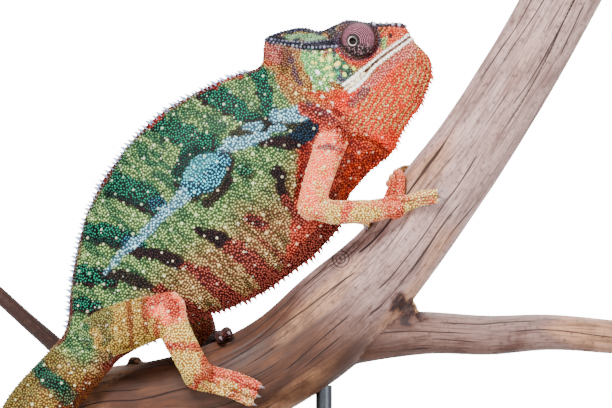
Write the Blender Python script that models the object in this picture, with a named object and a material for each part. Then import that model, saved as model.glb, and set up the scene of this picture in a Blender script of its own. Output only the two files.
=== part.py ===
"""A panther chameleon gripping a short forked branch, held on a plain display stand.

The animal faces +X and its right flank faces -Y. Z is up and z = 0 is the underside of the stand.
All sizes are millimetres until a mesh is made. A flank point is (x, z), a route point (x, y, z).
"""
import math
import random

import bmesh
import bpy
import numpy as np

MM = 0.001

# Driving dimensions
GAP = 0.3                 # between pieces that touch
SOCKET_GAP = 0.3          # between a turret and its socket
TURRET_RADIUS = 7.5
TAIL_FREE_LENGTH = 185.0  # from the last measured flank section to the tip
TAIL_START_RADIUS = 12.4
BASE_LENGTH = 232.0
BASE_DEPTH = 120.0
BASE_THICKNESS = 8.0
BASE_CORNER = 14.0
ROD_RADIUS = 3.5
NEAR = -1
FAR = 1

# Number of points from the back line to the belly line on one flank, and the levels
# between them (0 is the back line, 1 the belly line) at which a width is given
FLANK_POINTS = 11
TAIL_POINTS = 7
HEAD_RINGS = 23
NECK_RINGS = 6
TORSO_RINGS = 21
CUTTER_RINGS = 36
STEM_RINGS = 24
STEM_SIDES = 14
LEVELS = (0.0, 0.05, 0.13, 0.22, 0.35, 0.48, 0.6, 0.75, 0.9, 1.0)
EDGE_WIDTH = 0.4

# Head sections from the nape to the snout: top point, throat point, half widths at the levels
HEAD_SECTIONS = (
    ((-14.6, 223.6), (40.9, 182.8), (0.5, 3.2, 6.5, 9.3, 12.0, 13.7, 14.0, 12.3, 8.0, 0.4)),
    ((-14.4, 229.2), (42.3, 184.8), (0.6, 3.4, 6.8, 9.5, 12.2, 13.9, 14.1, 12.2, 7.9, 0.4)),
    ((-13.4, 233.0), (43.4, 187.0), (0.9, 3.6, 7.2, 9.8, 12.4, 14.1, 14.3, 12.0, 7.8, 0.4)),
    ((-10.0, 234.7), (44.4, 189.0), (1.0, 3.2, 7.8, 9.8, 12.6, 14.4, 14.4, 12.0, 7.4, 0.4)),
    ((-4.7, 236.5), (45.6, 191.3), (1.0, 3.2, 9.0, 9.7, 12.8, 14.8, 14.6, 12.0, 7.0, 0.4)),
    ((3.0, 237.8), (48.2, 195.7), (1.0, 3.2, 6.8, 11.2, 12.2, 14.6, 14.0, 11.2, 6.5, 0.4)),
    ((10.3, 236.1), (50.7, 199.5), (1.2, 4.2, 9.8, 11.8, 12.0, 13.4, 12.6, 10.2, 6.0, 0.4)),
    ((17.2, 239.1), (53.8, 203.4), (3.0, 8.5, 11.2, 10.4, 9.8, 12.2, 11.4, 9.2, 5.0, 0.4)),
    ((24.1, 240.8), (56.3, 209.4), (4.5, 10.3, 10.2, 9.0, 9.2, 10.8, 10.0, 8.2, 4.5, 0.4)),
    ((30.1, 239.9), (58.5, 215.9), (5.0, 9.2, 9.2, 8.8, 9.0, 9.6, 9.0, 7.2, 4.5, 0.4)),
    ((35.3, 239.5), (58.5, 221.0), (5.0, 8.4, 8.5, 8.2, 8.3, 8.5, 7.9, 6.5, 4.2, 0.4)),
    ((40.4, 239.5), (55.5, 227.5), (5.0, 7.4, 7.8, 7.7, 7.6, 7.4, 7.0, 6.0, 3.8, 0.4)),
    ((46.0, 239.5), (52.5, 229.2), (4.5, 6.0, 6.6, 6.6, 6.3, 6.0, 5.6, 4.8, 3.2, 0.4)),
    ((47.7, 236.9), (50.7, 232.2), (2.5, 3.2, 3.6, 3.8, 3.8, 3.6, 3.2, 2.6, 1.6, 0.4)),
)

# Neck, trunk and tail root sections from the nape backwards: back point, belly point,
# half width, and how sharply the section closes at the back and at the belly
TRUNK_SECTIONS = (
    ((-16.8, 220.6), (35.7, 177.6), 14.2, 0.62, 0.55),
    ((-20.6, 219.3), (29.7, 172.9), 14.4, 0.66, 0.55),
    ((-24.9, 218.0), (23.2, 163.8), 14.8, 0.70, 0.55),
    ((-31.8, 215.4), (20.2, 153.9), 15.4, 0.74, 0.55),
    ((-41.7, 210.7), (14.6, 146.2), 16.2, 0.78, 0.55),
    ((-55.0, 203.4), (6.9, 138.5), 16.8, 0.80, 0.55),
    ((-65.4, 194.8), (-2.6, 131.2), 17.0, 0.80, 0.55),
    ((-77.0, 181.5), (-14.6, 123.0), 17.0, 0.80, 0.55),
    ((-85.1, 169.0), (-26.2, 117.4), 16.6, 0.78, 0.55),
    ((-91.2, 155.2), (-37.8, 113.5), 15.8, 0.74, 0.55),
    ((-94.6, 141.9), (-49.9, 109.6), 14.6, 0.70, 0.52),
    ((-97.2, 125.1), (-62.8, 101.9), 13.0, 0.62, 0.5),
    ((-99.8, 106.6), (-76.1, 94.2), 11.8, 0.56, 0.5),
    ((-107.9, 97.0), (-85.6, 83.0), 11.4, 0.54, 0.5),
    ((-116.1, 88.4), (-95.5, 72.2), 11.2, 0.52, 0.5),
)
NECK_END = 3              # trunk section where the neck meets the torso
VENT = 12                 # trunk section where the torso meets the tail
TAIL_FIRST = (-111.9, 74.4)
TAIL_FIRST_HEADING = 228.6
TAIL_CURL = 0.024         # bend for each millimetre where the free tail starts
TAIL_CURL_GROWTH = 130.0  # length over which the bend grows by the factor e
TAIL_THINNING = ((0.0, 1.0), (0.19, 0.77), (0.38, 0.57), (0.57, 0.4), (0.78, 0.25), (1.0, 0.09))
TAIL_FLATNESS = 0.88      # width over depth
TAIL_SIDE = -3.0          # how far the coil lies towards the viewer's side
TAIL_STEPS = 400          # small steps in which the curl is worked out
TAIL_SECTION_EVERY = 10   # steps between sections
TAIL_CUTS = (0.0, 48.0, 90.0, 125.0, 156.0, 184.0)  # from the vent to where each length starts
TAIL_RINGS = (7, 8, 7, 7, 7, 12)
TAIL_SPINED = 2           # lengths that carry the crest on

# The branch: axis (x, y, z) and radius from its lower left end to its upper right end
BRANCH_ROUTE = (
    (-100.6, 27.0, 66.7, 18.0), (-84.3, 22.0, 72.2, 18.3), (-61.9, 13.0, 75.2, 18.9),
    (-32.7, 5.0, 81.7, 20.2), (-4.3, 4.0, 95.9, 20.8), (15.9, 4.0, 112.4, 21.8),
    (43.8, 4.0, 141.3, 18.2), (60.3, 4.0, 164.6, 18.0), (73.8, 4.0, 183.2, 17.0),
    (96.8, 4.0, 219.3, 16.3), (120.8, 4.0, 261.9, 16.0),
)
SIDE_BRANCH_ROUTE = (
    (20.0, 4.0, 103.5, 12.0), (40.0, 4.0, 105.6, 10.6), (57.2, 4.0, 106.2, 9.4),
    (82.6, 3.0, 105.1, 8.8), (107.5, 2.0, 106.4, 8.0), (140.2, 1.0, 104.1, 7.5),
)
KNOTS = ((47.0, 0.0, 116.0, 5.2), (-69.8, 14.0, 93.2, 3.0))  # swellings of the stem: x, y, z, radius
TWIG_ROUTE = (
    (-132.4, 24.0, 125.1, 3.6), (-116.1, 24.0, 110.5, 3.8), (-101.5, 24.0, 97.2, 4.2),
    (-90.0, 23.0, 84.0, 5.2),
)

# Eyes, mouth and nostrils on the head's flank
EYE_CENTRE = (26.7, 232.2)
EYE_DEPTH = 9.6           # of a turret's centre from the middle plane
EYE_TURN_BACK = 20.0      # degrees that the eye looks behind straight sideways
EYEBALL_RADIUS = 2.8
EYE_OPENING = 1.5
EYEBALL_SINK = 3.2        # of the eyeball's centre below the turret's crown
UPPER_LIP = ((19.9, 211.9), (25.2, 217.4), (29.4, 221.8), (35.4, 226.5), (42.5, 231.1), (48.1, 234.8))
LOWER_LIP = ((22.3, 209.5), (27.9, 213.6), (32.3, 218.4), (37.8, 223.4), (44.1, 228.0), (49.7, 232.1))
LIP_RADII = (1.4, 1.8, 1.6, 1.25, 1.05, 0.9)
LIP_SINK = 0.45           # of a lip's axis below the skin
NOSTRIL = (40.9, 233.9)
NOSTRIL_RADIUS = 0.8
NOSTRIL_DEPTH = 1.8
NOSTRIL_SLOPE = (-0.8, -0.5)  # shift of its inner end in x and z

# Scutes along the crests of the head: points on the flank, count, radius and how far they sit down
CANTHAL_SCUTES = (((33.4, 239.6), (46.2, 239.4)), 6, 1.25, 0.2)
LATERAL_SCUTES = (((-12.0, 232.2), (-4.7, 230.9), (6.9, 229.2), (17.5, 228.8)), 7, 1.15, 0.05)
SCUTE_SINK = 0.3          # of a scute's centre below the skin, in its radii
PARIETAL_SECTIONS = (2, 8)
PARIETAL_COUNT = 10
PARIETAL_SIZE = 1.05
THROAT_SECTIONS = (1, 11)  # head sections between which the throat carries its crest
SIZE_SPREAD = 0.1         # share by which scutes and spines differ in size

# Crest spines: height, root radius and spacing
SPINE_SINK = 1.2
SPINE_INSET = 1.2         # from a piece's end to the first spine
BACK_SPINE = (1.7, 0.9, 3.5)
TAIL_SPINE = (1.2, 0.8, 4.4)
BELLY_SPINE = (1.7, 0.8, 3.5)
THROAT_SPINE = (1.8, 0.8, 3.3)
SPINE_LEAN = 0.25

# Legs: route points (x, y, z, radius) on the near side, given for the right legs and,
# where the far ones lie otherwise, for the left legs
ARM_RIGHT = (
    (16.0, -12.0, 189.5, 7.0), (12.2, -19.0, 180.0, 6.6), (8.6, -23.5, 169.0, 6.3),
    (6.4, -25.0, 160.6, 6.1),
)
FOREARM_RIGHT = (
    (6.4, -25.0, 160.6, 5.0), (14.6, -24.2, 158.4, 5.3), (25.4, -21.4, 158.4, 5.3),
    (35.0, -17.8, 159.2, 4.9), (39.0, -15.8, 160.2, 4.6),
)
ARM_LEFT = (
    (14.0, 12.0, 189.0, 7.0), (10.2, 19.0, 180.0, 6.6), (6.6, 24.0, 170.0, 6.3),
    (4.6, 26.0, 162.0, 6.1),
)
FOREARM_LEFT = (
    (4.6, 26.0, 162.0, 5.0), (12.6, 27.0, 159.4, 5.3), (22.4, 27.2, 158.6, 5.2),
    (31.0, 26.4, 157.0, 4.9), (34.6, 25.4, 156.0, 4.6),
)
THIGH_RIGHT = (
    (-83.0, -6.0, 106.0, 11.0), (-71.0, -13.5, 110.0, 10.6), (-61.5, -19.0, 113.0, 9.6),
    (-54.4, -22.0, 116.6, 7.9),
)
SHIN_RIGHT = (
    (-54.4, -22.0, 116.6, 6.8), (-51.8, -23.5, 108.6, 7.0), (-47.4, -24.0, 99.6, 6.7),
    (-43.4, -22.5, 92.2, 6.6),
)
THIGH_LEFT = (
    (-82.0, 7.0, 107.0, 10.5), (-68.0, 15.0, 113.0, 9.6), (-55.0, 21.0, 118.0, 8.6),
    (-46.5, 24.0, 120.6, 7.6),
)
SHIN_LEFT = (
    (-46.5, 24.0, 120.6, 6.5), (-42.0, 27.5, 111.0, 6.4), (-39.4, 27.8, 101.0, 6.1),
    (-38.0, 26.0, 94.4, 5.7),
)

# Toes: the middle line of each bundle on the branch's surface, as (x, z, side), and its toe count
FORE_TOES_RIGHT = (
    (((42.0, 160.4, NEAR), (48.0, 162.4, NEAR), (54.0, 164.2, NEAR), (60.0, 165.0, NEAR)), 2),
    (((41.2, 162.0, NEAR), (42.2, 166.0, NEAR), (42.8, 170.0, NEAR), (43.2, 173.4, FAR),
      (46.4, 174.4, FAR)), 3),
)
FORE_TOES_LEFT = (
    (((37.0, 152.6, FAR), (43.0, 151.0, FAR), (49.0, 149.0, FAR), (54.4, 147.0, FAR)), 2),
    (((35.0, 155.0, FAR), (32.8, 157.2, FAR), (31.6, 157.0, NEAR), (32.4, 155.2, NEAR)), 3),
)
HIND_TOES_RIGHT = (
    (((-41.9, 88.6, NEAR), (-34.6, 86.6, NEAR), (-26.6, 84.4, NEAR), (-18.0, 80.6, NEAR)), 3),
    (((-43.2, 92.4, NEAR), (-46.0, 96.6, NEAR), (-47.2, 100.0, NEAR), (-47.6, 100.6, FAR)), 2),
)
HIND_TOES_LEFT = (
    (((-37.0, 90.6, FAR), (-30.0, 87.0, FAR), (-23.0, 83.0, FAR), (-17.0, 79.0, FAR)), 3),
    (((-36.4, 94.0, FAR), (-36.0, 100.4, FAR), (-33.4, 104.4, FAR), (-30.6, 105.0, NEAR)), 2),
)
FORE_SIZES = (5.8, 2.6)   # radii of the palm and of a toe where it leaves the palm
HIND_SIZES = (6.8, 3.1)
PALM_CLEARANCE = 0.8      # of its centre above the branch, in palm radii
TOE_TAPER = 0.68          # radius of a toe's tip, as a share of the toe's
CLAW_LENGTH = 2.6
CLAW_RADIUS = 0.75

# Angles of the rings in a domed end
DOME_TURNS = (0.65, 1.15)
TOE_DOME_TURNS = (0.85,)
TOE_SIDES = 6
TOE_RINGS = 6
LEG_SIDES = 10
TOE_SPREAD = 1.35         # between neighbouring toes at their tips, in toe radii
TOE_START_SPREAD = 0.7    # share of that where they leave the palm

# The stand's rods: x where each one meets the branch's underside
ROD_PLACES = (("stand_rod_rear", -50.0), ("stand_rod_front", 12.0))

# Colour, roughness of each finish
FINISHES = {
    "green_skin": ((0.42, 0.50, 0.20), 0.6),
    "red_skin": ((0.68, 0.22, 0.12), 0.6),
    "limb_skin": ((0.66, 0.50, 0.26), 0.6),
    "turret_skin": ((0.26, 0.08, 0.09), 0.5),
    "eyeball": ((0.03, 0.02, 0.02), 0.1),
    "wood": ((0.42, 0.31, 0.24), 0.8),
    "stand": ((0.12, 0.12, 0.12), 0.4),
}


def clear_scene():
    for thing in list(bpy.data.objects):
        bpy.data.objects.remove(thing, do_unlink=True)


def finish(name):
    """The named finish, made once."""
    material = bpy.data.materials.get(name)
    if material is None:
        colour, roughness = FINISHES[name]
        material = bpy.data.materials.new(name)
        material.use_nodes = True
        shader = material.node_tree.nodes["Principled BSDF"]
        shader.inputs["Base Color"].default_value = (*colour, 1.0)
        shader.inputs["Roughness"].default_value = roughness
    return material


def spline(knots, values, at):
    """A smooth curve through rows of values given at rising knots, read at the places `at`."""
    knots = np.asarray(knots, float)
    values = np.asarray(values, float)
    at = np.asarray(at, float)
    flat = values.reshape(len(knots), -1)
    step = np.diff(knots)[:, None]
    slope = np.diff(flat, axis=0) / step
    tangent = np.empty_like(flat)
    tangent[0] = slope[0]
    tangent[-1] = slope[-1]
    tangent[1:-1] = (slope[:-1] * step[1:] + slope[1:] * step[:-1]) / (step[1:] + step[:-1])
    index = np.clip(np.searchsorted(knots, at, side="right") - 1, 0, len(knots) - 2)
    width = (knots[index + 1] - knots[index])[:, None]
    t = ((at - knots[index])[:, None]) / width
    result = ((2 * t**3 - 3 * t**2 + 1) * flat[index] + (t**3 - 2 * t**2 + t) * width * tangent[index]
              + (3 * t**2 - 2 * t**3) * flat[index + 1] + (t**3 - t**2) * width * tangent[index + 1])
    return result.reshape((len(at),) + values.shape[1:])


def lengths_along(points):
    """The length of the route up to each of its points."""
    steps = np.linalg.norm(np.diff(np.asarray(points, float), axis=0), axis=1)
    return np.concatenate([[0.0], np.cumsum(steps)])


def leaf(half_width, back_power, belly_power):
    """Half widths at the levels for a section that is narrow at the back and at the belly."""
    level = np.asarray(LEVELS)
    widest = back_power / (back_power + belly_power)
    top = widest**back_power * (1 - widest)**belly_power
    widths = half_width * level**back_power * (1 - level)**belly_power / top
    return np.maximum(widths, EDGE_WIDTH)


def tail_route():
    """Places, headings and radii along the free tail, which curls towards the belly side."""
    along = np.linspace(0.0, TAIL_FREE_LENGTH, TAIL_STEPS)
    bend = TAIL_CURL * np.exp(along / TAIL_CURL_GROWTH)
    step = along[1] - along[0]
    turned = np.concatenate([[0.0], np.cumsum((bend[1:] + bend[:-1]) / 2 * step)])
    heading = math.radians(TAIL_FIRST_HEADING) + turned
    middle = (heading[1:] + heading[:-1]) / 2
    x = TAIL_FIRST[0] + np.concatenate([[0.0], np.cumsum(np.cos(middle) * step)])
    z = TAIL_FIRST[1] + np.concatenate([[0.0], np.cumsum(np.sin(middle) * step)])
    share, thinning = np.transpose(TAIL_THINNING)
    radius = TAIL_START_RADIUS * spline(share, thinning, along / TAIL_FREE_LENGTH)
    return along, x, z, heading, radius


class Flank:
    """Sections of the animal in order, each from a back point to a belly point."""

    def __init__(self, tops, bottoms, widths, sides):
        self.tops = np.asarray(tops, float)
        self.bottoms = np.asarray(bottoms, float)
        self.widths = np.asarray(widths, float)
        self.sides = np.asarray(sides, float)
        self.knots = (lengths_along(self.tops) + lengths_along(self.bottoms)) / 2

    def read(self, at):
        """Top points, bottom points, widths and sideways shift at the places `at`."""
        rows = np.concatenate([self.tops, self.bottoms, self.widths, self.sides[:, None]], axis=1)
        values = spline(self.knots, rows, at)
        count = len(LEVELS)
        return values[:, 0:2], values[:, 2:4], values[:, 4:4 + count], values[:, 4 + count]

    def rings(self, at, grow=0.0, points=FLANK_POINTS):
        """Closed rings of (x, y, z), grown outwards by `grow`."""
        tops, bottoms, widths, sides = self.read(at)
        across = bottoms - tops
        across /= np.linalg.norm(across, axis=1)[:, None]
        tops = tops - across * grow
        bottoms = bottoms + across * grow
        levels = (1 - np.cos(np.linspace(0, math.pi, points))) / 2
        rings = []
        for top, bottom, width, side in zip(tops, bottoms, widths, sides):
            half = np.maximum(spline(LEVELS, width, levels), EDGE_WIDTH) + grow
            flank = top + levels[:, None] * (bottom - top)
            right = np.stack([flank[:, 0], side - half, flank[:, 1]], axis=1)
            left = np.stack([flank[:, 0], side + half, flank[:, 1]], axis=1)
            rings.append(np.concatenate([right, left[::-1]]))
        return np.array(rings)

    def piece_rings(self, start, end, count, start_gap=True, end_gap=True, points=FLANK_POINTS):
        """Rings from knot `start` to knot `end`, with half a gap taken off where pieces meet."""
        rings = self.rings(np.linspace(start, end, count), points=points)
        for index, wanted, sign in ((0, start_gap, 1), (-1, end_gap, -1)):
            if wanted:
                ring = rings[index]
                top, bottom = ring[0], ring[len(ring) // 2]
                run = rings[1].mean(axis=0) - rings[0].mean(axis=0)
                if index:
                    run = rings[-1].mean(axis=0) - rings[-2].mean(axis=0)
                normal = np.cross(bottom - top, (0.0, 1.0, 0.0))
                normal *= np.sign(normal @ run) / np.linalg.norm(normal)
                rings[index] = ring + normal * sign * GAP / 2
        return rings

    def surface(self, x, z):
        """The flank's half width and its level nearest to a flank point."""
        at = np.linspace(self.knots[0], self.knots[-1], 160)
        tops, bottoms, widths, sides = self.read(at)
        levels = np.linspace(0, 1, 81)
        places = tops[:, None, :] + levels[None, :, None] * (bottoms - tops)[:, None, :]
        distance = np.hypot(places[..., 0] - x, places[..., 1] - z)
        row, column = np.unravel_index(np.argmin(distance), distance.shape)
        half = spline(LEVELS, widths[row], levels[column:column + 1])[0]
        return max(half, EDGE_WIDTH)


def head_flank():
    tops, bottoms, widths = zip(*HEAD_SECTIONS)
    return Flank(tops, bottoms, widths, np.zeros(len(HEAD_SECTIONS)))


def trunk_flank():
    """The flank from the nape to the tip of the tail, and the knots where its pieces meet."""
    nape_top, nape_bottom, nape_widths = HEAD_SECTIONS[0]
    tops, bottoms, widths, sides = [nape_top], [nape_bottom], [nape_widths], [0.0]
    for index, (top, bottom, half_width, back_power, belly_power) in enumerate(TRUNK_SECTIONS):
        tops.append(top)
        bottoms.append(bottom)
        widths.append(leaf(half_width, back_power, belly_power))
        behind_vent = max(0, index - VENT) / (len(TRUNK_SECTIONS) - VENT)
        sides.append(TAIL_SIDE * behind_vent)
    along, x, z, heading, radius = tail_route()
    for index in range(TAIL_SECTION_EVERY, len(along), TAIL_SECTION_EVERY):
        outwards = heading[index] - math.pi / 2
        reach = radius[index] * np.array((math.cos(outwards), math.sin(outwards)))
        middle = np.array((x[index], z[index]))
        tops.append(middle + reach)
        bottoms.append(middle - reach)
        widths.append(leaf(radius[index] * TAIL_FLATNESS, 0.5, 0.5))
        sides.append(TAIL_SIDE)
    return Flank(tops, bottoms, widths, sides)


def mesh_object(name, points, faces, finish_name=None):
    mesh = bpy.data.meshes.new(name)
    mesh.from_pydata((np.asarray(points) * MM).tolist(), [], faces)
    shape = bmesh.new()
    shape.from_mesh(mesh)
    bmesh.ops.recalc_face_normals(shape, faces=shape.faces)
    if shape.calc_volume(signed=True) < 0:
        bmesh.ops.reverse_faces(shape, faces=shape.faces)
    bmesh.ops.triangulate(shape, faces=shape.faces)
    shape.to_mesh(mesh)
    shape.free()
    thing = bpy.data.objects.new(name, mesh)
    bpy.context.scene.collection.objects.link(thing)
    if finish_name:
        mesh.materials.append(finish(finish_name))
    return thing


def skin_rings(name, rings, finish_name=None):
    """A closed mesh through rings of equal count, each end closed by a fan."""
    rings = np.asarray(rings)
    count, around = rings.shape[:2]
    points = rings.reshape(-1, 3).tolist()
    points.append(rings[0].mean(axis=0))
    points.append(rings[-1].mean(axis=0))
    first, last = len(points) - 2, len(points) - 1
    faces = []
    for row in range(count - 1):
        for column in range(around):
            beside = (column + 1) % around
            faces.append((row * around + column, row * around + beside,
                          (row + 1) * around + beside, (row + 1) * around + column))
    for column in range(around):
        beside = (column + 1) % around
        faces.append((first, beside, column))
        faces.append((last, (count - 1) * around + column, (count - 1) * around + beside))
    return mesh_object(name, points, faces, finish_name)


def tube_rings(route, count, around=LEG_SIDES, grow=0.0, round_start=True, round_end=True, turns=DOME_TURNS):
    """Rings round a smooth route of (x, y, z, radius), with domed ends where they are wanted."""
    route = np.asarray(route, float)
    knots = lengths_along(route[:, :3])
    fine = spline(knots, route, np.linspace(0, knots[-1], count))
    places, radii = fine[:, :3], fine[:, 3] + grow
    heading = np.gradient(places, axis=0)
    heading /= np.linalg.norm(heading, axis=1)[:, None]
    places = list(places)
    radii = list(radii)
    headings = list(heading)
    for wanted, index, sign in ((round_start, 0, -1), (round_end, -1, 1)):
        if not wanted:
            continue
        place, radius, way = places[index], radii[index], headings[index]
        for turn in turns:
            ring_place = place + way * sign * radius * math.sin(turn)
            ring_radius = radius * math.cos(turn)
            spot = 0 if index == 0 else len(places)
            places.insert(spot, ring_place)
            radii.insert(spot, ring_radius)
            headings.insert(spot, way)
    side = np.cross(headings[0], (0.0, 1.0, 0.0))
    if np.linalg.norm(side) < 0.2:
        side = np.cross(headings[0], (0.0, 0.0, 1.0))
    rings = []
    angles = np.linspace(0, 2 * math.pi, around, endpoint=False)
    for place, radius, way in zip(places, radii, headings):
        side = side - way * (side @ way)
        side /= np.linalg.norm(side)
        up = np.cross(way, side)
        rings.append(place + radius * (np.cos(angles)[:, None] * side + np.sin(angles)[:, None] * up))
    return np.array(rings)


def tube(name, route, count, around=LEG_SIDES, finish_name=None, **options):
    return skin_rings(name, tube_rings(route, count, around, **options), finish_name)


def ball(name, centre, radius, segments=16, rings=10, axis=(0.0, 0.0, 1.0), finish_name=None):
    """A closed ball whose poles lie on an axis."""
    axis = np.asarray(axis, float) / np.linalg.norm(axis)
    side = np.cross(axis, (0.0, 1.0, 0.0) if abs(axis[1]) < 0.9 else (1.0, 0.0, 0.0))
    side /= np.linalg.norm(side)
    up = np.cross(axis, side)
    angles = np.linspace(0, 2 * math.pi, segments, endpoint=False)
    stack = []
    for turn in np.linspace(0, math.pi, rings + 1)[1:-1]:
        ring = np.cos(angles)[:, None] * side + np.sin(angles)[:, None] * up
        stack.append(np.asarray(centre) + radius * (math.sin(turn) * ring - math.cos(turn) * axis))
    rings_array = np.array(stack)
    thing = skin_rings(name, rings_array, finish_name)
    mesh = thing.data
    poles = (len(mesh.vertices) - 2, len(mesh.vertices) - 1)
    for index, sign in zip(poles, (-1, 1)):
        mesh.vertices[index].co = (np.asarray(centre) + sign * radius * axis) * MM
    return thing


def spine(name, root, direction, height, radius, sides=4, turn=0.0):
    """A pointed cone with its root sunk below the surface point `root`."""
    direction = np.asarray(direction, float) / np.linalg.norm(direction)
    side = np.cross(direction, (0.0, 1.0, 0.0) if abs(direction[1]) < 0.9 else (1.0, 0.0, 0.0))
    side /= np.linalg.norm(side)
    up = np.cross(direction, side)
    foot = np.asarray(root, float) - direction * SPINE_SINK
    points = []
    for index in range(sides):
        angle = turn + 2 * math.pi * index / sides
        points.append(foot + radius * (math.cos(angle) * side + math.sin(angle) * up))
    points.append(np.asarray(root, float) + direction * height)
    faces = [tuple(range(sides))]
    for index in range(sides):
        faces.append((index, (index + 1) % sides, sides))
    return mesh_object(name, points, faces)


def apply_boolean(target, operation, others, solver="EXACT"):
    """Joins others to the target, or cuts them from it, and removes them."""
    group = bpy.data.collections.new("pieces")
    for other in others:
        group.objects.link(other)
    modifier = target.modifiers.new("join", "BOOLEAN")
    modifier.operation = operation
    modifier.operand_type = "COLLECTION"
    modifier.collection = group
    modifier.solver = solver
    evaluated = target.evaluated_get(bpy.context.evaluated_depsgraph_get())
    mesh = bpy.data.meshes.new_from_object(evaluated)
    target.modifiers.remove(modifier)
    old = target.data
    target.data = mesh
    bpy.data.meshes.remove(old)
    bpy.data.collections.remove(group)
    for other in others:
        bpy.data.objects.remove(other, do_unlink=True)
    keep_largest(target)


def keep_largest(target):
    """Keeps the largest closed surface of a node."""
    shape = bmesh.new()
    shape.from_mesh(target.data)
    bmesh.ops.remove_doubles(shape, verts=shape.verts, dist=0.01 * MM)
    bmesh.ops.dissolve_degenerate(shape, edges=shape.edges, dist=0.005 * MM)
    waiting = set(shape.verts)
    groups = []
    while waiting:
        start = waiting.pop()
        group, edge = {start}, [start]
        while edge:
            vertex = edge.pop()
            for link in vertex.link_edges:
                other = link.other_vert(vertex)
                if other in waiting:
                    waiting.discard(other)
                    group.add(other)
                    edge.append(other)
        groups.append(group)
    groups.sort(key=lambda group: (extent(group), len(group)))
    for group in groups[:-1]:
        bmesh.ops.delete(shape, geom=list(group), context="VERTS")
    bmesh.ops.triangulate(shape, faces=shape.faces)
    shape.to_mesh(target.data)
    shape.free()


def extent(vertices):
    places = np.array([vertex.co[:] for vertex in vertices])
    return float(np.prod(places.max(axis=0) - places.min(axis=0) + 1e-6))


def outline_spines(places, inside, size, dice):
    """Spines along an outline in the middle plane, leaning back along it."""
    height, radius, spacing = size
    places = np.asarray(places, float)
    knots = lengths_along(places)
    count = int(knots[-1] / spacing)
    at = (np.arange(count) + 0.5) * knots[-1] / count
    spots = spline(knots, places, at)
    ways = np.gradient(spots, axis=0)
    middles = spline(knots, np.asarray(inside, float), at)
    spines = []
    for spot, way, middle in zip(spots, ways, middles):
        way = way / np.linalg.norm(way)
        out = spot - middle
        out = out - way * (out @ way)
        out = out / np.linalg.norm(out) + SPINE_LEAN * way
        spines.append(spine("spine", spot, out, varied(height, dice), radius, turn=dice.uniform(0, 1)))
    return spines


def edge_line(flank, start, end, belly, count=40):
    """The back or belly line of a flank, with the section's middle beside each point."""
    tops, bottoms, widths, sides = flank.read(np.linspace(start, end, count))
    line = bottoms if belly else tops
    middle = (tops + bottoms) / 2
    as_points = np.stack([line[:, 0], sides, line[:, 1]], axis=1)
    as_middles = np.stack([middle[:, 0], sides, middle[:, 1]], axis=1)
    return as_points, as_middles


def flank_route(points, flank, side, proud, radii, count=7):
    """A route of (x, y, z, radius) through flank points, `proud` above the head's surface."""
    knots = lengths_along(points)
    at = np.linspace(0, knots[-1], count)
    places = spline(knots, points, at)
    sizes = spline(knots, radii, at)
    return [(x, side * (flank.surface(x, z) + proud), z, size) for (x, z), size in zip(places, sizes)]


def varied(size, dice):
    return size * dice.uniform(1 - SIZE_SPREAD, 1 + SIZE_SPREAD)


def crest_scutes(flank, dice):
    """Enlarged scutes on the snout's ridges, the side crests and the middle crest of the casque."""
    scutes = []
    for side in (NEAR, FAR):
        for line, count, size, drop in (CANTHAL_SCUTES, LATERAL_SCUTES):
            knots = lengths_along(line)
            for x, z in spline(knots, line, np.linspace(0, knots[-1], count)):
                place = (x, side * (flank.surface(x, z) - SCUTE_SINK * size), z - drop)
                scutes.append(ball("scute", place, varied(size, dice), 5, 3, axis=(0, side, 1)))
    first, last = (flank.knots[section] for section in PARIETAL_SECTIONS)
    tops, _, _, _ = flank.read(np.linspace(first, last, PARIETAL_COUNT))
    for x, z in tops:
        scutes.append(ball("scute", (x, 0.0, z - SCUTE_SINK), varied(PARIETAL_SIZE, dice), 5, 3))
    return scutes


def eye_axis(side):
    turn = math.radians(EYE_TURN_BACK)
    return np.array((-math.sin(turn), side * math.cos(turn), 0.0))


def lips(flank):
    """The four lip ridges; the furrow between an upper and a lower one is the line of the mouth."""
    ridges = []
    for side in (NEAR, FAR):
        for line in (UPPER_LIP, LOWER_LIP):
            route = flank_route(line, flank, side, -LIP_SINK, LIP_RADII)
            ridges.append(tube("lip", route, 6, around=6, round_start=False, round_end=False))
    return ridges


def nostril_cutter(flank, side):
    x, z = NOSTRIL
    half = flank.surface(x, z)
    outer = (x, side * (half + 1.0), z, NOSTRIL_RADIUS)
    inner = (x + NOSTRIL_SLOPE[0], side * (half - NOSTRIL_DEPTH), z + NOSTRIL_SLOPE[1], NOSTRIL_RADIUS * 0.7)
    return tube("nostril", (outer, inner), 2, around=8, round_start=False, round_end=False)


def make_head(flank):
    dice = random.Random(11)
    head = skin_rings("head", flank.piece_rings(0.0, flank.knots[-1], HEAD_RINGS, end_gap=False), "red_skin")
    first, last = (flank.knots[section] for section in THROAT_SECTIONS)
    throat, middles = edge_line(flank, first, last, True)
    spines = outline_spines(throat, middles, THROAT_SPINE, dice)
    apply_boolean(head, "UNION", crest_scutes(flank, dice) + lips(flank) + spines)
    cuts = []
    for side in (NEAR, FAR):
        centre = (EYE_CENTRE[0], side * EYE_DEPTH, EYE_CENTRE[1])
        cuts.append(ball("socket", centre, TURRET_RADIUS + SOCKET_GAP, 16, 9, axis=eye_axis(side)))
        cuts.append(nostril_cutter(flank, side))
    apply_boolean(head, "DIFFERENCE", cuts)


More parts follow.
